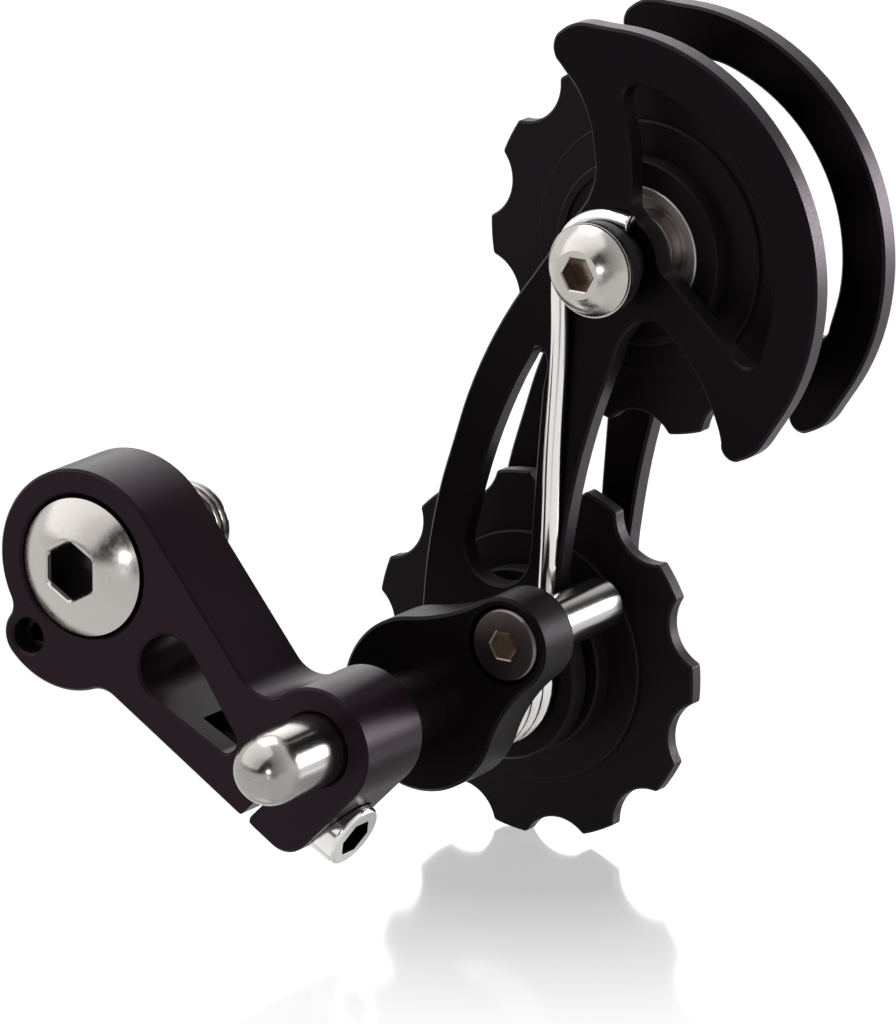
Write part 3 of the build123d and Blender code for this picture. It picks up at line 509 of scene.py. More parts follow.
def front_socket(
    node: str, across_flats: float, depth: float, colour: tuple[float, float, float]
) -> Socket:
    """Describes the socket of a screw whose head looks to the front.

    Args:
        node: CAD node of the screw.
        across_flats: Size of the hex key.
        depth: Depth of the socket.
        colour: Linear colour painted inside it for its light and shade.

    Returns:
        The socket.
    """
    low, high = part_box(node)
    mouth = ((low.x + high.x) / 2, low.y, (low.z + high.z) / 2)
    margin = 1.02
    front = (0.0, -1.0, 0.0)
    return Socket(mouth, front, hex_corner(across_flats) * margin, depth, colour)


def polar(radius: float, degrees: float) -> Vector:
    """Finds a point by its angle round the y axis.

    Args:
        radius: Distance from the axis.
        degrees: Angle from x toward z.

    Returns:
        The point, at y 0.
    """
    turn = math.radians(degrees)
    return Vector((radius * math.cos(turn), 0.0, radius * math.sin(turn)))


def smooth_path(points: list[Vector], per_span: int) -> list[Vector]:
    """Runs a natural cubic curve through points.

    Args:
        points: Points that the curve passes.
        per_span: Steps between two points.

    Returns:
        Points along the curve, the given ones among them.
    """
    spots = np.array([tuple(point) for point in points])
    gaps = np.linalg.norm(np.diff(spots, axis=0), axis=1)
    count = len(points)
    matrix = np.eye(count)
    right = np.zeros((count, 3))
    for i in range(1, count - 1):
        before, after = gaps[i - 1], gaps[i]
        matrix[i, i - 1] = before
        matrix[i, i] = 2 * (before + after)
        matrix[i, i + 1] = after
        rise = (spots[i + 1] - spots[i]) / after
        fall = (spots[i] - spots[i - 1]) / before
        right[i] = 6 * (rise - fall)
    bends = np.linalg.solve(matrix, right)
    path = []
    for i in range(count - 1):
        span = gaps[i]
        for step in range(per_span):
            b = step / per_span
            a = 1 - b
            curve = (a**3 - a) * bends[i] + (b**3 - b) * bends[i + 1]
            path.append(Vector(a * spots[i] + b * spots[i + 1] + curve * span**2 / 6))
    path.append(points[-1].copy())
    return path


def finish_mesh(name: str, built: bmesh.types.BMesh, smooth_below: float) -> bpy.types.Object:
    """Closes a built mesh, turns its faces out and makes it an object at the origin.

    Args:
        name: Name of the piece.
        built: Mesh, which is freed.
        smooth_below: Edges with a smaller angle than this, in degrees, are shaded smooth.

    Returns:
        The object.
    """
    bmesh.ops.remove_doubles(built, verts=built.verts, dist=WELD)
    bmesh.ops.recalc_face_normals(built, faces=built.faces)
    for face in built.faces:
        face.smooth = True
    for edge in built.edges:
        edge.smooth = edge.calc_face_angle(math.pi) < math.radians(smooth_below)
    mesh = bpy.data.meshes.new(name)
    built.to_mesh(mesh)
    built.free()
    piece = bpy.data.objects.new(name, mesh)
    bpy.context.scene.collection.objects.link(piece)
    return piece


def sweep_tube(name: str, path: list[Vector], radius: float, sides: int) -> bpy.types.Object:
    """Sweeps a round wire along a path, with closed and slightly broken ends.

    Args:
        name: Name of the piece.
        path: Points on the wire's centre line.
        radius: Radius of the wire.
        sides: Sides of the round section.

    Returns:
        The wire as an object at the origin.
    """
    wire = bmesh.new()
    heading = (path[1] - path[0]).normalized()
    start = Matrix.Translation(path[0]) @ heading.to_track_quat("Z", "Y").to_matrix().to_4x4()
    bmesh.ops.create_circle(wire, segments=sides, radius=radius, matrix=start, cap_ends=True)
    ring = list(wire.edges)
    for i in range(1, len(path)):
        after = path[min(i + 1, len(path) - 1)]
        new_heading = (after - path[i - 1]).normalized()
        turn = heading.rotation_difference(new_heading).to_matrix().to_4x4()
        move = Matrix.Translation(path[i]) @ turn @ Matrix.Translation(-path[i - 1])
        grown = bmesh.ops.extrude_edge_only(wire, edges=ring)["geom"]
        verts = [item for item in grown if isinstance(item, bmesh.types.BMVert)]
        bmesh.ops.transform(wire, matrix=move, verts=verts)
        fresh = set(verts)
        edges = [item for item in grown if isinstance(item, bmesh.types.BMEdge)]
        ring = [edge for edge in edges if edge.verts[0] in fresh and edge.verts[1] in fresh]
        heading = new_heading
    bmesh.ops.holes_fill(wire, edges=ring, sides=sides)
    sharp = math.radians(60)
    broken_share = 0.18
    rims = [edge for edge in wire.edges if edge.calc_face_angle(0.0) > sharp]
    bmesh.ops.bevel(
        wire,
        geom=rims,
        offset=radius * broken_share,
        offset_type="OFFSET",
        affect="EDGES",
        segments=2,
        profile=0.5,
        material=-1,
    )
    return finish_mesh(name, wire, smooth_below=50.0)


@dataclass
class ArmAssembly:
    """The mounting arm with its stop screw and clamp screw.

    Attributes:
        nodes: The CAD nodes by name.
        clamp_drop: Angle in degrees by which the clamp screw points below x.
        clamp_head_r: Radius of the clamp screw's head.
        clamp_edge_r: Radius of the round at the head's edge.
        clamp_hex: Size of its hex key.
        clamp_depth: Depth of its socket.
    """

    nodes: dict[str, bpy.types.Object]
    clamp_drop: float = 28.0
    clamp_head_r: float = 3.75 * MM
    clamp_edge_r: float = 0.5 * MM
    clamp_hex: float = 4.0 * MM
    clamp_depth: float = 2.0 * MM

    def build(self) -> None:
        """Dresses the arm's nodes."""
        dress(self.nodes, "mount_arm", BLACK_ANODISED)
        dress(self.nodes, "stop_grub_screw", GRUB_DARK)
        dress(self.nodes, "clamp_screw", SPRING_STEEL, self._clamp_socket())

    def _clamp_socket(self) -> Socket:
        """Describes the socket of the clamp screw, which points to the lower right.

        Returns:
            The socket.
        """
        low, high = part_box("clamp_screw")
        outward = polar(1.0, -self.clamp_drop)
        below = polar(1.0, -self.clamp_drop - 90.0)
        right_edge = high.x - self.clamp_edge_r
        low_edge = low.z + self.clamp_edge_r
        reach = self.clamp_head_r - self.clamp_edge_r
        x = right_edge + outward.x * self.clamp_edge_r + below.x * reach
        z = low_edge + outward.z * self.clamp_edge_r - below.z * reach
        mouth = Vector((x, (low.y + high.y) / 2, z))
        corner = hex_corner(self.clamp_hex)
        # Painted shade inside the clamp screw's hex socket
        return Socket(tuple(mouth), tuple(outward), corner, self.clamp_depth, CLAMP_SOCKET_PAINTED_SHADE)


@dataclass
class MountBolt:
    """The domed hex bolt that holds the arm, with its screw thread cut.

    Attributes:
        head_r: Radius of the head.
        rim_h: Height of the straight rim behind the dome.
        dome_h: Height of the dome.
        top_r: Radius of the dome's flat top.
        hex_key: Size of the hex key.
        hex_depth: Depth of the socket behind its bevel.
        hex_bevel: Depth of the bevel at the socket's mouth, and its width at the corners.
        shoulder_r: Radius of the plain shoulder behind the head.
        rim_edge: Bevel at the rim's rear edge.
        thread_r: Radius of the thread's crest.
        thread_pitch: Rise of one turn of the thread.
        thread_depth: Depth of the thread.
        point: Length of the tapered end.
        steps: Steps round the head.
        arc_steps: Steps along the dome.
    """

    head_r: float = 7.7 * MM
    rim_h: float = 2.95 * MM
    dome_h: float = 2.3 * MM
    top_r: float = 3.5 * MM
    hex_key: float = 5.5 * MM
    hex_depth: float = 3.4 * MM
    hex_bevel: float = 0.45 * MM
    shoulder_r: float = 5.4 * MM
    rim_edge: float = 0.25 * MM
    thread_r: float = 4.95 * MM
    thread_pitch: float = 1.0 * MM
    thread_depth: float = 0.58 * MM
    point: float = 1.5 * MM
    steps: int = 72
    arc_steps: int = 14

    def build(self) -> None:
        """Builds the bolt in place of the CAD node."""
        low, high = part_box("mount_bolt")
        bolt = bmesh.new()
        self._head(bolt, low.y)
        self._socket(bolt, low.y)
        self._thread(bolt, high.y)
        piece = finish_mesh("mount_bolt_threaded", bolt, smooth_below=35.0)
        # Painted shade inside the bolt's hex socket
        socket = front_socket("mount_bolt", self.hex_key, self.hex_depth, MOUNT_SOCKET_PAINTED_SHADE)
        piece.data.materials.append(BOLT_STEEL.material("mount_bolt", socket))
        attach(piece, "arm")
        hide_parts("mount_bolt")
        LOG.info("%s: %d faces", piece.name, len(piece.data.polygons))

    def _head(self, bolt: bmesh.types.BMesh, top: float) -> None:
        """Spins the crown, the rim and the shoulder.

        Args:
            bolt: Mesh that gets them.
            top: y of the crown's flat top.
        """
        rim = top + self.dome_h
        seat = rim + self.rim_h
        middle = (self.head_r**2 + rim**2 - self.top_r**2 - top**2) / (2 * (rim - top))
        crown_r = math.hypot(self.head_r, rim - middle)
        first = math.atan2(self.top_r, middle - top)
        last = math.atan2(self.head_r, middle - rim)
        outline = []
        for step in range(self.arc_steps + 1):
            turn = first + (last - first) * step / self.arc_steps
            outline.append((crown_r * math.sin(turn), middle - crown_r * math.cos(turn)))
        outline += [
            (self.head_r, seat - self.rim_edge),
            (self.head_r - self.rim_edge, seat),
            (self.shoulder_r, seat),
            (self.shoulder_r, 0.0),
            (0.0, 0.0),
        ]
        verts = [bolt.verts.new((radius, y, 0.0)) for radius, y in outline]
        edges = [bolt.edges.new(pair) for pair in zip(verts, verts[1:])]
        bmesh.ops.spin(
            bolt,
            geom=verts + edges,
            cent=(0.0, 0.0, 0.0),
            axis=(0.0, 1.0, 0.0),
            angle=math.tau,
            steps=self.steps,
            use_merge=True,
        )
        bmesh.ops.remove_doubles(bolt, verts=bolt.verts, dist=WELD)

    def _socket(self, bolt: bmesh.types.BMesh, top: float) -> None:
        """Joins a hex socket to the open top of the crown.

        Args:
            bolt: Mesh with the open crown.
            top: y of the crown's flat top.
        """
        mouth = [edge for edge in bolt.edges if edge.is_boundary]
        corner = hex_corner(self.hex_key)
        wide = corner + self.hex_bevel
        upright = Matrix.Rotation(math.pi / 2, 4, "X")
        place = Matrix.Translation((0.0, top, 0.0)) @ upright
        ring = bmesh.ops.create_circle(bolt, segments=6, radius=wide, matrix=place)
        sides = list({edge for vert in ring["verts"] for edge in vert.link_edges})
        cut = bmesh.ops.subdivide_edges(bolt, edges=sides, cuts=self.steps // 6 - 1)
        sides = [item for item in cut["geom"] if isinstance(item, bmesh.types.BMEdge)]
        bmesh.ops.bridge_loops(bolt, edges=mouth + sides)
        down = ((self.hex_bevel, corner / wide), (self.hex_depth, 1.0))
        for drop, shrink in down:
            grown = bmesh.ops.extrude_edge_only(bolt, edges=sides)["geom"]
            verts = [item for item in grown if isinstance(item, bmesh.types.BMVert)]
            fresh = set(verts)
            edges = [item for item in grown if isinstance(item, bmesh.types.BMEdge)]
            sides = [edge for edge in edges if fresh.issuperset(edge.verts)]
            bmesh.ops.scale(bolt, vec=(shrink, 1.0, shrink), verts=verts)
            bmesh.ops.translate(bolt, vec=(0.0, drop, 0.0), verts=verts)
        bmesh.ops.holes_fill(bolt, edges=sides, sides=self.steps)

    def _thread(self, bolt: bmesh.types.BMesh, tail: float) -> None:
        """Spins a helical thread and points its end.

        Args:
            bolt: Mesh that gets the thread.
            tail: y of the bolt's end.
        """
        spare_turns = 3
        lead_turns = 1.5
        merge = 2e-6
        near_cut = 1e-6
        flank, crest_start, crest_end = 0.2, 0.52, 0.68
        turns = math.ceil(tail / self.thread_pitch) + spare_turns
        start = -lead_turns * self.thread_pitch
        core_r = self.thread_r - self.thread_depth
        outline = (
            (core_r, 0.0),
            (core_r, flank),
            (self.thread_r, crest_start),
            (self.thread_r, crest_end),
            (core_r, 1.0),
        )
        thread = bmesh.new()
        verts = []
        for radius, share in outline:
            verts.append(thread.verts.new((radius, start + share * self.thread_pitch, 0.0)))
        edges = [thread.edges.new(pair) for pair in zip(verts, verts[1:])]
        turn_steps = self.steps // 2
        bmesh.ops.spin(
            thread,
            geom=verts + edges,
            cent=(0.0, 0.0, 0.0),
            axis=(0.0, 1.0, 0.0),
            dvec=(0.0, self.thread_pitch / turn_steps, 0.0),
            angle=math.tau * turns,
            steps=turn_steps * turns,
        )
        bmesh.ops.remove_doubles(thread, verts=thread.verts, dist=merge)
        for y, side in ((0.0, -1.0), (tail, 1.0)):
            every = thread.verts[:] + thread.edges[:] + thread.faces[:]
            bmesh.ops.bisect_plane(
                thread,
                geom=every,
                dist=WELD,
                plane_co=(0.0, y, 0.0),
                plane_no=(0.0, side, 0.0),
                clear_outer=True,
            )
            open_edges = [edge for edge in thread.edges if edge.is_boundary]
            rim = [edge for edge in open_edges if abs(edge.verts[0].co.y - y) < near_cut]
            bmesh.ops.holes_fill(thread, edges=rim, sides=0)
        for vert in thread.verts:
            reach = math.hypot(vert.co.x, vert.co.z)
            allowed = self.thread_r - max(0.0, vert.co.y - (tail - self.point))
            if reach > allowed:
                vert.co.x *= allowed / reach
                vert.co.z *= allowed / reach
        mesh = bpy.data.meshes.new("thread")
        thread.to_mesh(mesh)
        thread.free()
        bolt.from_mesh(mesh)
        bpy.data.meshes.remove(mesh)


@dataclass
class ShaftAssembly:
    """The sliding shaft with its link, post, sleeve and end screw.

    Attributes:
        nodes: The CAD nodes by name.
        screw_hex: Size of the link screw's hex key.
        screw_depth: Depth of its socket.
    """

    nodes: dict[str, bpy.types.Object]
    screw_hex: float = 3.0 * MM
    screw_depth: float = 1.8 * MM

    def build(self) -> None:
        """Dresses the shaft's nodes."""
        # The link gets the darker copy of the anodised finish as painted shade
        dress(self.nodes, "link", LINK_BLACK_SHADED)
        # Painted light inside the link screw's hex socket, lighter than its head
        socket = front_socket("link_screw", self.screw_hex, self.screw_depth, LINK_SOCKET_PAINTED_LIGHT)
        dress(self.nodes, "link_screw", SCREW_STEEL, socket)
        for name in ("pivot_shaft", "stop_post", "coil_sleeve"):
            dress(self.nodes, name, POLISHED_STEEL)
        for name in ("end_washer", "end_screw"):
            dress(self.nodes, name, BOLT_STEEL)
        for name in ("lower_bearing_inner", "lower_spacer_front", "lower_spacer_rear"):
            dress(self.nodes, name, BEARING_STEEL)


@dataclass
class CageAssembly:
    """The two cage plates with the upper axle bolt and its spacers.

    Attributes:
        nodes: The CAD nodes by name.
        bolt_hex: Size of the axle bolt's hex key.
        bolt_depth: Depth of its socket.
    """

    nodes: dict[str, bpy.types.Object]
    bolt_hex: float = 3.5 * MM
    bolt_depth: float = 2.2 * MM

    def build(self) -> None:
        """Dresses the cage's nodes."""
        for name in ("front_plate", "rear_plate"):
            # The plates get the darker copy of the anodised finish as painted shade
            dress(self.nodes, name, PLATE_BLACK_SHADED)
        # Painted shade inside the axle bolt's hex socket
        socket = front_socket("upper_bolt", self.bolt_hex, self.bolt_depth, AXLE_SOCKET_PAINTED_SHADE)
        dress(self.nodes, "upper_bolt", BOLT_STEEL, socket)
        dress(self.nodes, "hook_spacer", BUSH_DARK)
        for name in ("upper_bearing_inner", "upper_spacer_front", "upper_spacer_rear"):
            dress(self.nodes, name, BEARING_STEEL)


class Side(Enum):
    """The two places of a pulley."""

    LOWER = "lower"
    UPPER = "upper"


@dataclass
class Wheel:
    """One toothed pulley with the outer parts of its bearing.

    Attributes:
        nodes: The CAD nodes by name.
        side: Place of the pulley, which starts the names of its nodes.
    """

    nodes: dict[str, bpy.types.Object]
    side: Side

    def build(self) -> None:
        """Dresses the wheel's nodes."""
        place = self.side.value
        dress(self.nodes, f"{place}_pulley", PULLEY_BLACK)
        for part in ("bearing_outer", "balls"):
            dress(self.nodes, f"{place}_{part}", BEARING_STEEL)
        for part in ("shield_front", "shield_rear"):
            dress(self.nodes, f"{place}_{part}", SHIELD_STEEL)


@dataclass
class TorsionSpring:
    """The wire spring: a coil round the shaft, a long leg and a hook at the axle.

    Attributes:
        wire_r: Radius of the wire.
        coil_r: Radius of the coil's centre line.
        coil_turns: Turns of the coil.
        coil_pitch: Rise of one turn.
        coil_end: Not used; meant as where the twist ends, in wire radii from the wire's far side.
        gap: Gap to what the wire passes.
        hook_neck_r: Radius of the spacer's neck in the hook.
        post_r: Radius of the post that the leg passes.
        leg_marks: Points of the leg in mm from the shaft, along the line to the axle and to its left.
        leg_end: The leg's last point in the same way, but measured from the axle.
        hook_marks: Lift in mm off the neck and angle from that line, round the hook.
        steps_per_turn: Steps in one turn of the coil.
        steps_per_span: Steps between two points of the leg.
        sides: Sides of the wire's round section.
    """

    wire_r: float = 1.0 * MM
    coil_r: float = 7.15 * MM
    coil_turns: float = 3.65
    coil_pitch: float = 2.03 * MM
    coil_end: float = 2.05
    gap: float = 0.15 * MM
    hook_neck_r: float = 3.8 * MM
    post_r: float = 2.95 * MM
    leg_marks: tuple[tuple[float, float], ...] = ((18.0, -2.4), (28.19, 0.28))
    leg_end: tuple[float, float] = (-8.72, 3.77)
    hook_marks: tuple[tuple[float, float], ...] = (
        (0.9, 108.0),
        (0.5, 74.0),
        (0.15, 40.0),
        (0.15, 12.0),
        (0.6, -14.0),
    )
    steps_per_turn: int = 48
    steps_per_span: int = 12
    sides: int = 20

    def build(self) -> None:
        """Builds the wire in place of the CAD spring."""
        wire = sweep_tube("spring_wire_coil_and_leg", self._route(), self.wire_r, self.sides)
        wire.data.materials.append(SPRING_STEEL.material())
        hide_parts("torsion_spring")
        shaft = self._centre("pivot_shaft")
        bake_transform(wire)
        LOG.info("%s: %d faces", wire.name, len(wire.data.polygons))

    def _centre(self, node: str) -> Vector:
        """Finds the middle of a CAD node.

        Args:
            node: Name of the node.

        Returns:
            The middle of its box, brought to y 0.
        """
        low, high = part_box(node)
        middle = (low + high) / 2
        middle.y = 0.0
        return middle

    def _route(self) -> list[Vector]:
        """Works out the wire's centre line.

        Returns:
            Points from the coil's first turn to the end of the hook.
        """
        depth = Vector((0.0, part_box("torsion_spring")[1].y - self.wire_r, 0.0))
        shaft = self._centre("pivot_shaft")
        axle = self._centre("upper_bolt")
        post = self._centre("stop_post")
        line = (axle - shaft).normalized()
        left = Vector((-line.z, 0.0, line.x))
        tilt = math.degrees(math.atan2(line.z, line.x))
        hook_r = self.hook_neck_r + self.wire_r + self.gap
        coil = []
        steps = round(self.coil_turns * self.steps_per_turn)
        for step in range(steps + 1):
            back = self.coil_turns * (1 - step / steps)
            rise = Vector((0.0, -self.coil_pitch * back, 0.0))
            coil.append(shaft + depth + polar(self.coil_r, -360 * back) + rise)
        leg = [coil[-1], post + depth - Vector((self.post_r + self.wire_r + self.gap, 0.0, 0.0))]
        for along, aside in self.leg_marks:
            leg.append(shaft + depth + (line * along + left * aside) * MM)
        along, aside = self.leg_end
        leg.append(axle + depth + (line * along + left * aside) * MM)
        for lift, turn in self.hook_marks:
            leg.append(axle + depth + polar(hook_r + lift * MM, tilt + turn))
        return coil[:-1] + smooth_path(leg, self.steps_per_span)


def direction(azimuth: float, elevation: float) -> Vector:
    """Works out the way from the object to a place round it.

    Args:
        azimuth: Angle round the object, 0 in front of it and 90 at its right.
        elevation: Angle above the floor.

    Returns:
        The way as a unit vector.
    """
    turn = math.radians(azimuth)
    rise = math.radians(elevation)
    flat = math.cos(rise)
    return Vector((math.sin(turn) * flat, -math.cos(turn) * flat, math.sin(rise)))


@dataclass(frozen=True)
class SoftLamp:
    """A square softbox that points at the object.

    Attributes:
        name: Name of the lamp.
        azimuth: Angle round the object, 0 in front of it and 90 at its right.
        elevation: Angle above the floor.
        distance: Distance from the object.
        size: Side of the lamp.
        power: Power in watts.
    """

    name: str
    azimuth: float
    elevation: float
    distance: float
    size: float
    power: float

    def build(self, aim: Vector) -> None:
        """Adds the lamp.

        Args:
            aim: Point that it looks at.
        """
        data = bpy.data.lights.new(self.name, "AREA")
        data.shape = "SQUARE"
        data.size = self.size
        data.energy = self.power
        lamp = bpy.data.objects.new(self.name, data)
        bpy.context.scene.collection.objects.link(lamp)
        back = direction(self.azimuth, self.elevation)
        lamp.location = aim + back * self.distance
        lamp.rotation_euler = (-back).to_track_quat("-Z", "Y").to_euler()


LAMPS = (
    SoftLamp("key_softbox", azimuth=-40.0, elevation=48.0, distance=0.6, size=1.0, power=2.8),
    SoftLamp("back_softbox", azimuth=-152.0, elevation=20.0, distance=0.6, size=0.34, power=0.45),
    SoftLamp("top_softbox", azimuth=-130.0, elevation=66.0, distance=0.6, size=0.4, power=1.4),
    SoftLamp("side_softbox", azimuth=146.0, elevation=2.0, distance=0.6, size=0.32, power=2.8),
    SoftLamp("front_lamp", azimuth=28.0, elevation=6.0, distance=1.2, size=0.11, power=1.1),
)
# Places from behind the object, 0, to the dark front, 1, and the levels that mirrors see there
SURROUND_LEVELS = (
    (0.45, 0.95),
    (0.7, 0.62),
    (0.86, 0.42),
    (0.91, 0.3),
    (0.945, 0.03),
    (1.0, 0.02),
)


@dataclass
class Studio:
    """Floor, world, lamps and camera.

    Attributes:
        low: Lowest corner of the object.
        high: Highest corner of the object.
        target: Point that the camera looks at.
        azimuth: The camera's angle round the object.
        elevation: The camera's angle above the floor.
        distance: The camera's distance from its target.
        lens: Focal length in millimetres.
        sensor: Width of the sensor in millimetres.
        clip: The nearest and the farthest that the camera sees.
        floor_side: Side of the square floor.
        floor_glow: Glow of the floor near the object.
        floor_colour: Level of the floor's matte share, which takes the shadow.
        floor_shine: Level that mirrors see on the floor.
        floor_mirror: Share of the floor's own mirror where the pulley stands.
        floor_mirror_far: The same share farther away.
        mirror_start: Distance from the pulley where that share starts to fall.
        mirror_end: Distance where it has fallen.
        floor_blur: Roughness of the floor's mirror.
        far_start: Distance from the object where the floor starts to turn white.
        far_end: Distance where it is white.
        fill: Strength of the surround's light on matte faces.
        dark_front: Azimuth and elevation of the dark front that mirrors see.
        dark_back: The same for the dark place behind the object.
        dark_back_edge: Cosines of the angles where that place starts and is full.
        dark_back_level: Level in it.
        floor_dark: Azimuth and elevation of the strip of floor that mirrors see dark.
        floor_dark_edge: Cosines of the angles where that strip starts and is full.
        floor_dark_level: Level in it.
    """

    low: Vector
    high: Vector
    target: tuple[float, float, float] = (0.01942, 0.03144, -0.00072)
    azimuth: float = 34.108
    elevation: float = 16.185
    distance: float = 1.0782
    lens: float = 391.6
    sensor: float = 36.0
    clip: tuple[float, float] = (0.01, 20.0)
    floor_side: float = 6.0
    floor_glow: float = 0.9
    floor_colour: float = 0.14
    floor_shine: float = 0.78
    floor_mirror: float = 0.44
    floor_mirror_far: float = 0.06
    mirror_start: float = 0.02
    mirror_end: float = 0.064
    floor_blur: float = 0.11
    far_start: float = 0.12
    far_end: float = 0.4
    fill: float = 0.18
    dark_front: tuple[float, float] = (8.0, 17.0)
    dark_back: tuple[float, float] = (144.0, 28.0)
    dark_back_edge: tuple[float, float] = (0.88, 0.965)
    dark_back_level: float = 0.05
    floor_dark: tuple[float, float] = (46.0, 0.0)
    floor_dark_edge: tuple[float, float] = (0.955, 0.985)
    floor_dark_level: float = 0.16

    def build(self) -> None:
        """Builds the whole studio round the object."""
        bpy.context.scene.view_settings.view_transform = "Standard"
        self._floor()
        self._world()
        aim = (self.low + self.high) / 2
        for lamp in LAMPS:
            lamp.build(aim)
            LOG.info("%s: %.1f W", lamp.name, lamp.power)
        self._camera()

    def _floor(self) -> None:
        """Lays a pale floor that keeps the object's shadow."""
        slab = bmesh.new()
        place = Matrix.Translation((0.0, 0.0, self.low.z))
        half = self.floor_side / 2
        bmesh.ops.create_grid(slab, x_segments=1, y_segments=1, size=half, matrix=place)
        mesh = bpy.data.meshes.new("floor")
        slab.to_mesh(mesh)
        slab.free()
        floor = bpy.data.objects.new("floor", mesh)
        bpy.context.scene.collection.objects.link(floor)
        mesh.materials.append(self._floor_material())
        floor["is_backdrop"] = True

    def _floor_material(self) -> bpy.types.Material:
        """Makes the floor's material.

        Returns:
            A matte grey that glows for camera and mirror rays, with a weak mirror.
        """
        made = bpy.data.materials.new("pale_floor")
        made.use_nodes = True
        tree = made.node_tree
        tree.nodes.clear()
        links = tree.links
        out = tree.nodes.new("ShaderNodeOutputMaterial")
        glow = tree.nodes.new("ShaderNodeEmission")
        matte = tree.nodes.new("ShaderNodeBsdfDiffuse")
        matte.inputs["Color"].default_value = grey(self.floor_colour)
        gloss = tree.nodes.new("ShaderNodeBsdfGlossy")
        gloss.inputs["Roughness"].default_value = self.floor_blur
        both = tree.nodes.new("ShaderNodeAddShader")
        mixed = tree.nodes.new("ShaderNodeMixShader")
        links.new(self._mirror_share(tree), mixed.inputs["Fac"])
        links.new(self._floor_level(tree), glow.inputs["Strength"])
        links.new(glow.outputs[0], both.inputs[0])
        links.new(matte.outputs[0], both.inputs[1])
        links.new(both.outputs[0], mixed.inputs[1])
        links.new(gloss.outputs[0], mixed.inputs[2])
        links.new(mixed.outputs[0], out.inputs["Surface"])
        return made

    def _mirror_share(self, tree: bpy.types.NodeTree) -> bpy.types.NodeSocket:
        """Makes the share of the floor's mirror, which falls away from the pulley.

        Args:
            tree: Node tree that gets the nodes.

        Returns:
            The socket with the share.
        """
        place = tree.nodes.new("ShaderNodeTexCoord")
        wheel_low, wheel_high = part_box("lower_pulley")
        contact = (wheel_low + wheel_high) / 2
        contact.z = self.low.z
        away = vector_node(tree, "DISTANCE", place.outputs["Object"], contact)
        shares = (self.floor_mirror, self.floor_mirror_far)
        return range_node(tree, away, (self.mirror_start, self.mirror_end), shares)

    def _floor_level(self, tree: bpy.types.NodeTree) -> bpy.types.NodeSocket:
        """Makes the floor's glow: white for camera rays, lower for mirrors, none for light.

        Args:
            tree: Node tree that gets the nodes.

        Returns:
            The socket with the level.
        """
        place = tree.nodes.new("ShaderNodeTexCoord")
        spot = place.outputs["Object"]
        reach = vector_node(tree, "LENGTH", spot)
        rise = range_node(tree, reach, (self.far_start, self.far_end), (self.floor_glow, 1.0))
        heading = vector_node(tree, "NORMALIZE", spot)
        toward = vector_node(tree, "DOT_PRODUCT", heading, direction(*self.floor_dark))
        levels = (self.floor_shine, self.floor_dark_level)
        shine = range_node(tree, toward, self.floor_dark_edge, levels)
        camera_ray, shiny_ray = ray_kinds(tree)
        mirrored = math_node(tree, "MULTIPLY", shiny_ray, shine)
        seen = math_node(tree, "MAXIMUM", camera_ray, mirrored)
        return math_node(tree, "MULTIPLY", seen, rise)

    def _world(self) -> None:
        """Makes a white surround, darker where mirrors look to the front and one place behind."""
        world = bpy.data.worlds.new("studio")
        bpy.context.scene.world = world
        world.use_nodes = True
        tree = world.node_tree
        tree.nodes.clear()
        links = tree.links
        out = tree.nodes.new("ShaderNodeOutputWorld")
        white = tree.nodes.new("ShaderNodeBackground")
        mirror = tree.nodes.new("ShaderNodeBackground")
        soft = tree.nodes.new("ShaderNodeBackground")
        soft.inputs["Strength"].default_value = self.fill
        for lit in (white, soft):
            lit.inputs["Color"].default_value = grey(1.0)
        place = tree.nodes.new("ShaderNodeTexCoord")
        way = place.outputs["Generated"]
        behind = vector_node(tree, "DOT_PRODUCT", way, direction(*self.dark_back))
        dimmed = range_node(tree, behind, self.dark_back_edge, (1.0, self.dark_back_level))
        links.new(dimmed, mirror.inputs["Strength"])
        facing = vector_node(tree, "DOT_PRODUCT", way, direction(*self.dark_front))
        ramp = tree.nodes.new("ShaderNodeValToRGB")
        self._set_ramp(ramp.color_ramp)
        links.new(range_node(tree, facing, (-1.0, 1.0)), ramp.inputs["Fac"])
        links.new(ramp.outputs["Color"], mirror.inputs["Color"])
        camera_ray, shiny_ray = ray_kinds(tree)
        first = tree.nodes.new("ShaderNodeMixShader")
        last = tree.nodes.new("ShaderNodeMixShader")
        links.new(shiny_ray, first.inputs["Fac"])
        links.new(soft.outputs[0], first.inputs[1])
        links.new(mirror.outputs[0], first.inputs[2])
        links.new(camera_ray, last.inputs["Fac"])
        links.new(first.outputs[0], last.inputs[1])
        links.new(white.outputs[0], last.inputs[2])
        links.new(last.outputs[0], out.inputs["Surface"])

    @staticmethod
    def _set_ramp(ramp: bpy.types.ColorRamp) -> None:
        """Sets the surround's levels from behind the object to its front.

        Args:
            ramp: Colour ramp, 0 behind the object and 1 at its front.
        """
        first, *middle, last = SURROUND_LEVELS
        for stop, (position, level) in zip(ramp.elements, (first, last)):
            stop.position = position
            stop.color = grey(level)
        for position, level in middle:
            ramp.elements.new(position).color = grey(level)

    def _camera(self) -> None:
        """Places the camera at the photograph's viewing angle."""
        data = bpy.data.cameras.new("camera")
        data.sensor_fit = "HORIZONTAL"
        data.sensor_width = self.sensor
        data.lens = self.lens
        data.clip_start, data.clip_end = self.clip
        camera = bpy.data.objects.new("camera", data)
        bpy.context.scene.collection.objects.link(camera)
        back = direction(self.azimuth, self.elevation)
        camera.location = Vector(self.target) + back * self.distance
        camera.rotation_euler = (-back).to_track_quat("-Z", "Y").to_euler()
        bpy.context.scene.camera = camera


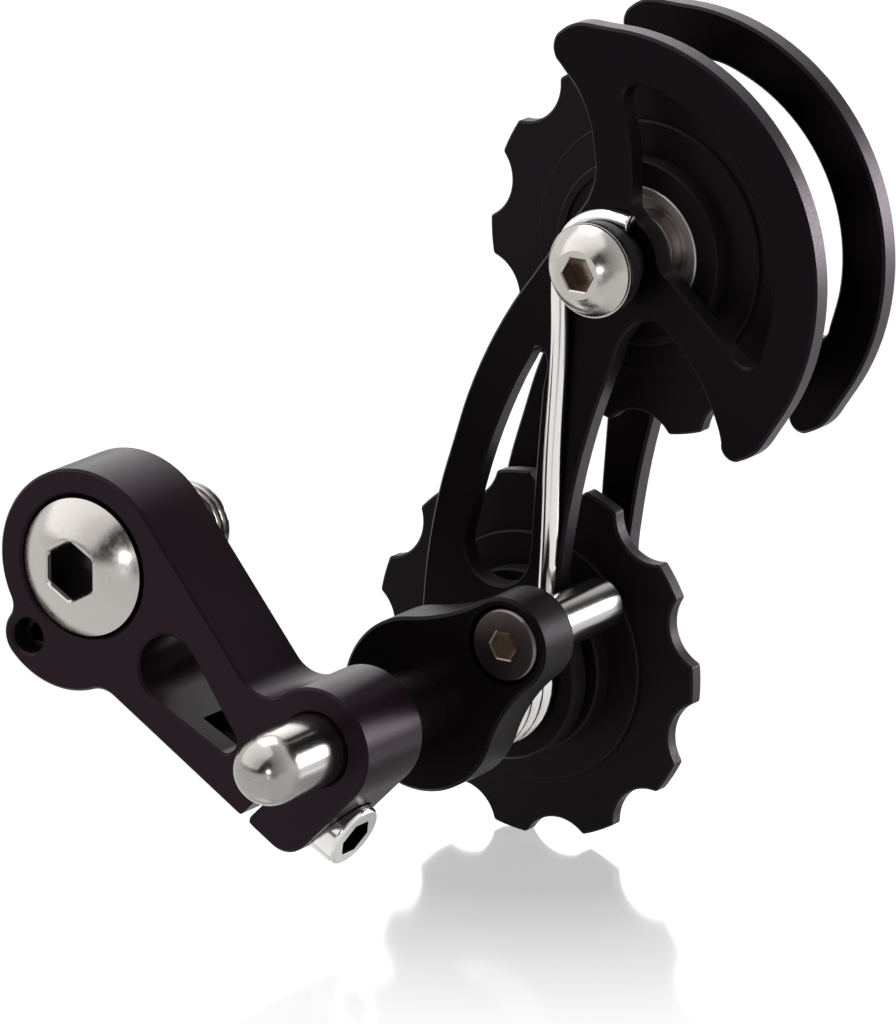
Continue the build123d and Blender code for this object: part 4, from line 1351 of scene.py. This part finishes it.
def main() -> None:
    """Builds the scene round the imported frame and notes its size."""
    logging.basicConfig(level=logging.INFO, format="%(name)s: %(message)s")
    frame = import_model()
    cad_low, cad_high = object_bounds()
    nodes = frame["nodes"]
    ArmAssembly(nodes).build()
    MountBolt().build()
    ShaftAssembly(nodes).build()
    CageAssembly(nodes).build()
    for side in Side:
        Wheel(nodes, side).build()
    TorsionSpring().build()
    Studio(cad_low, cad_high).build()


if __name__ == "__main__":
    main()
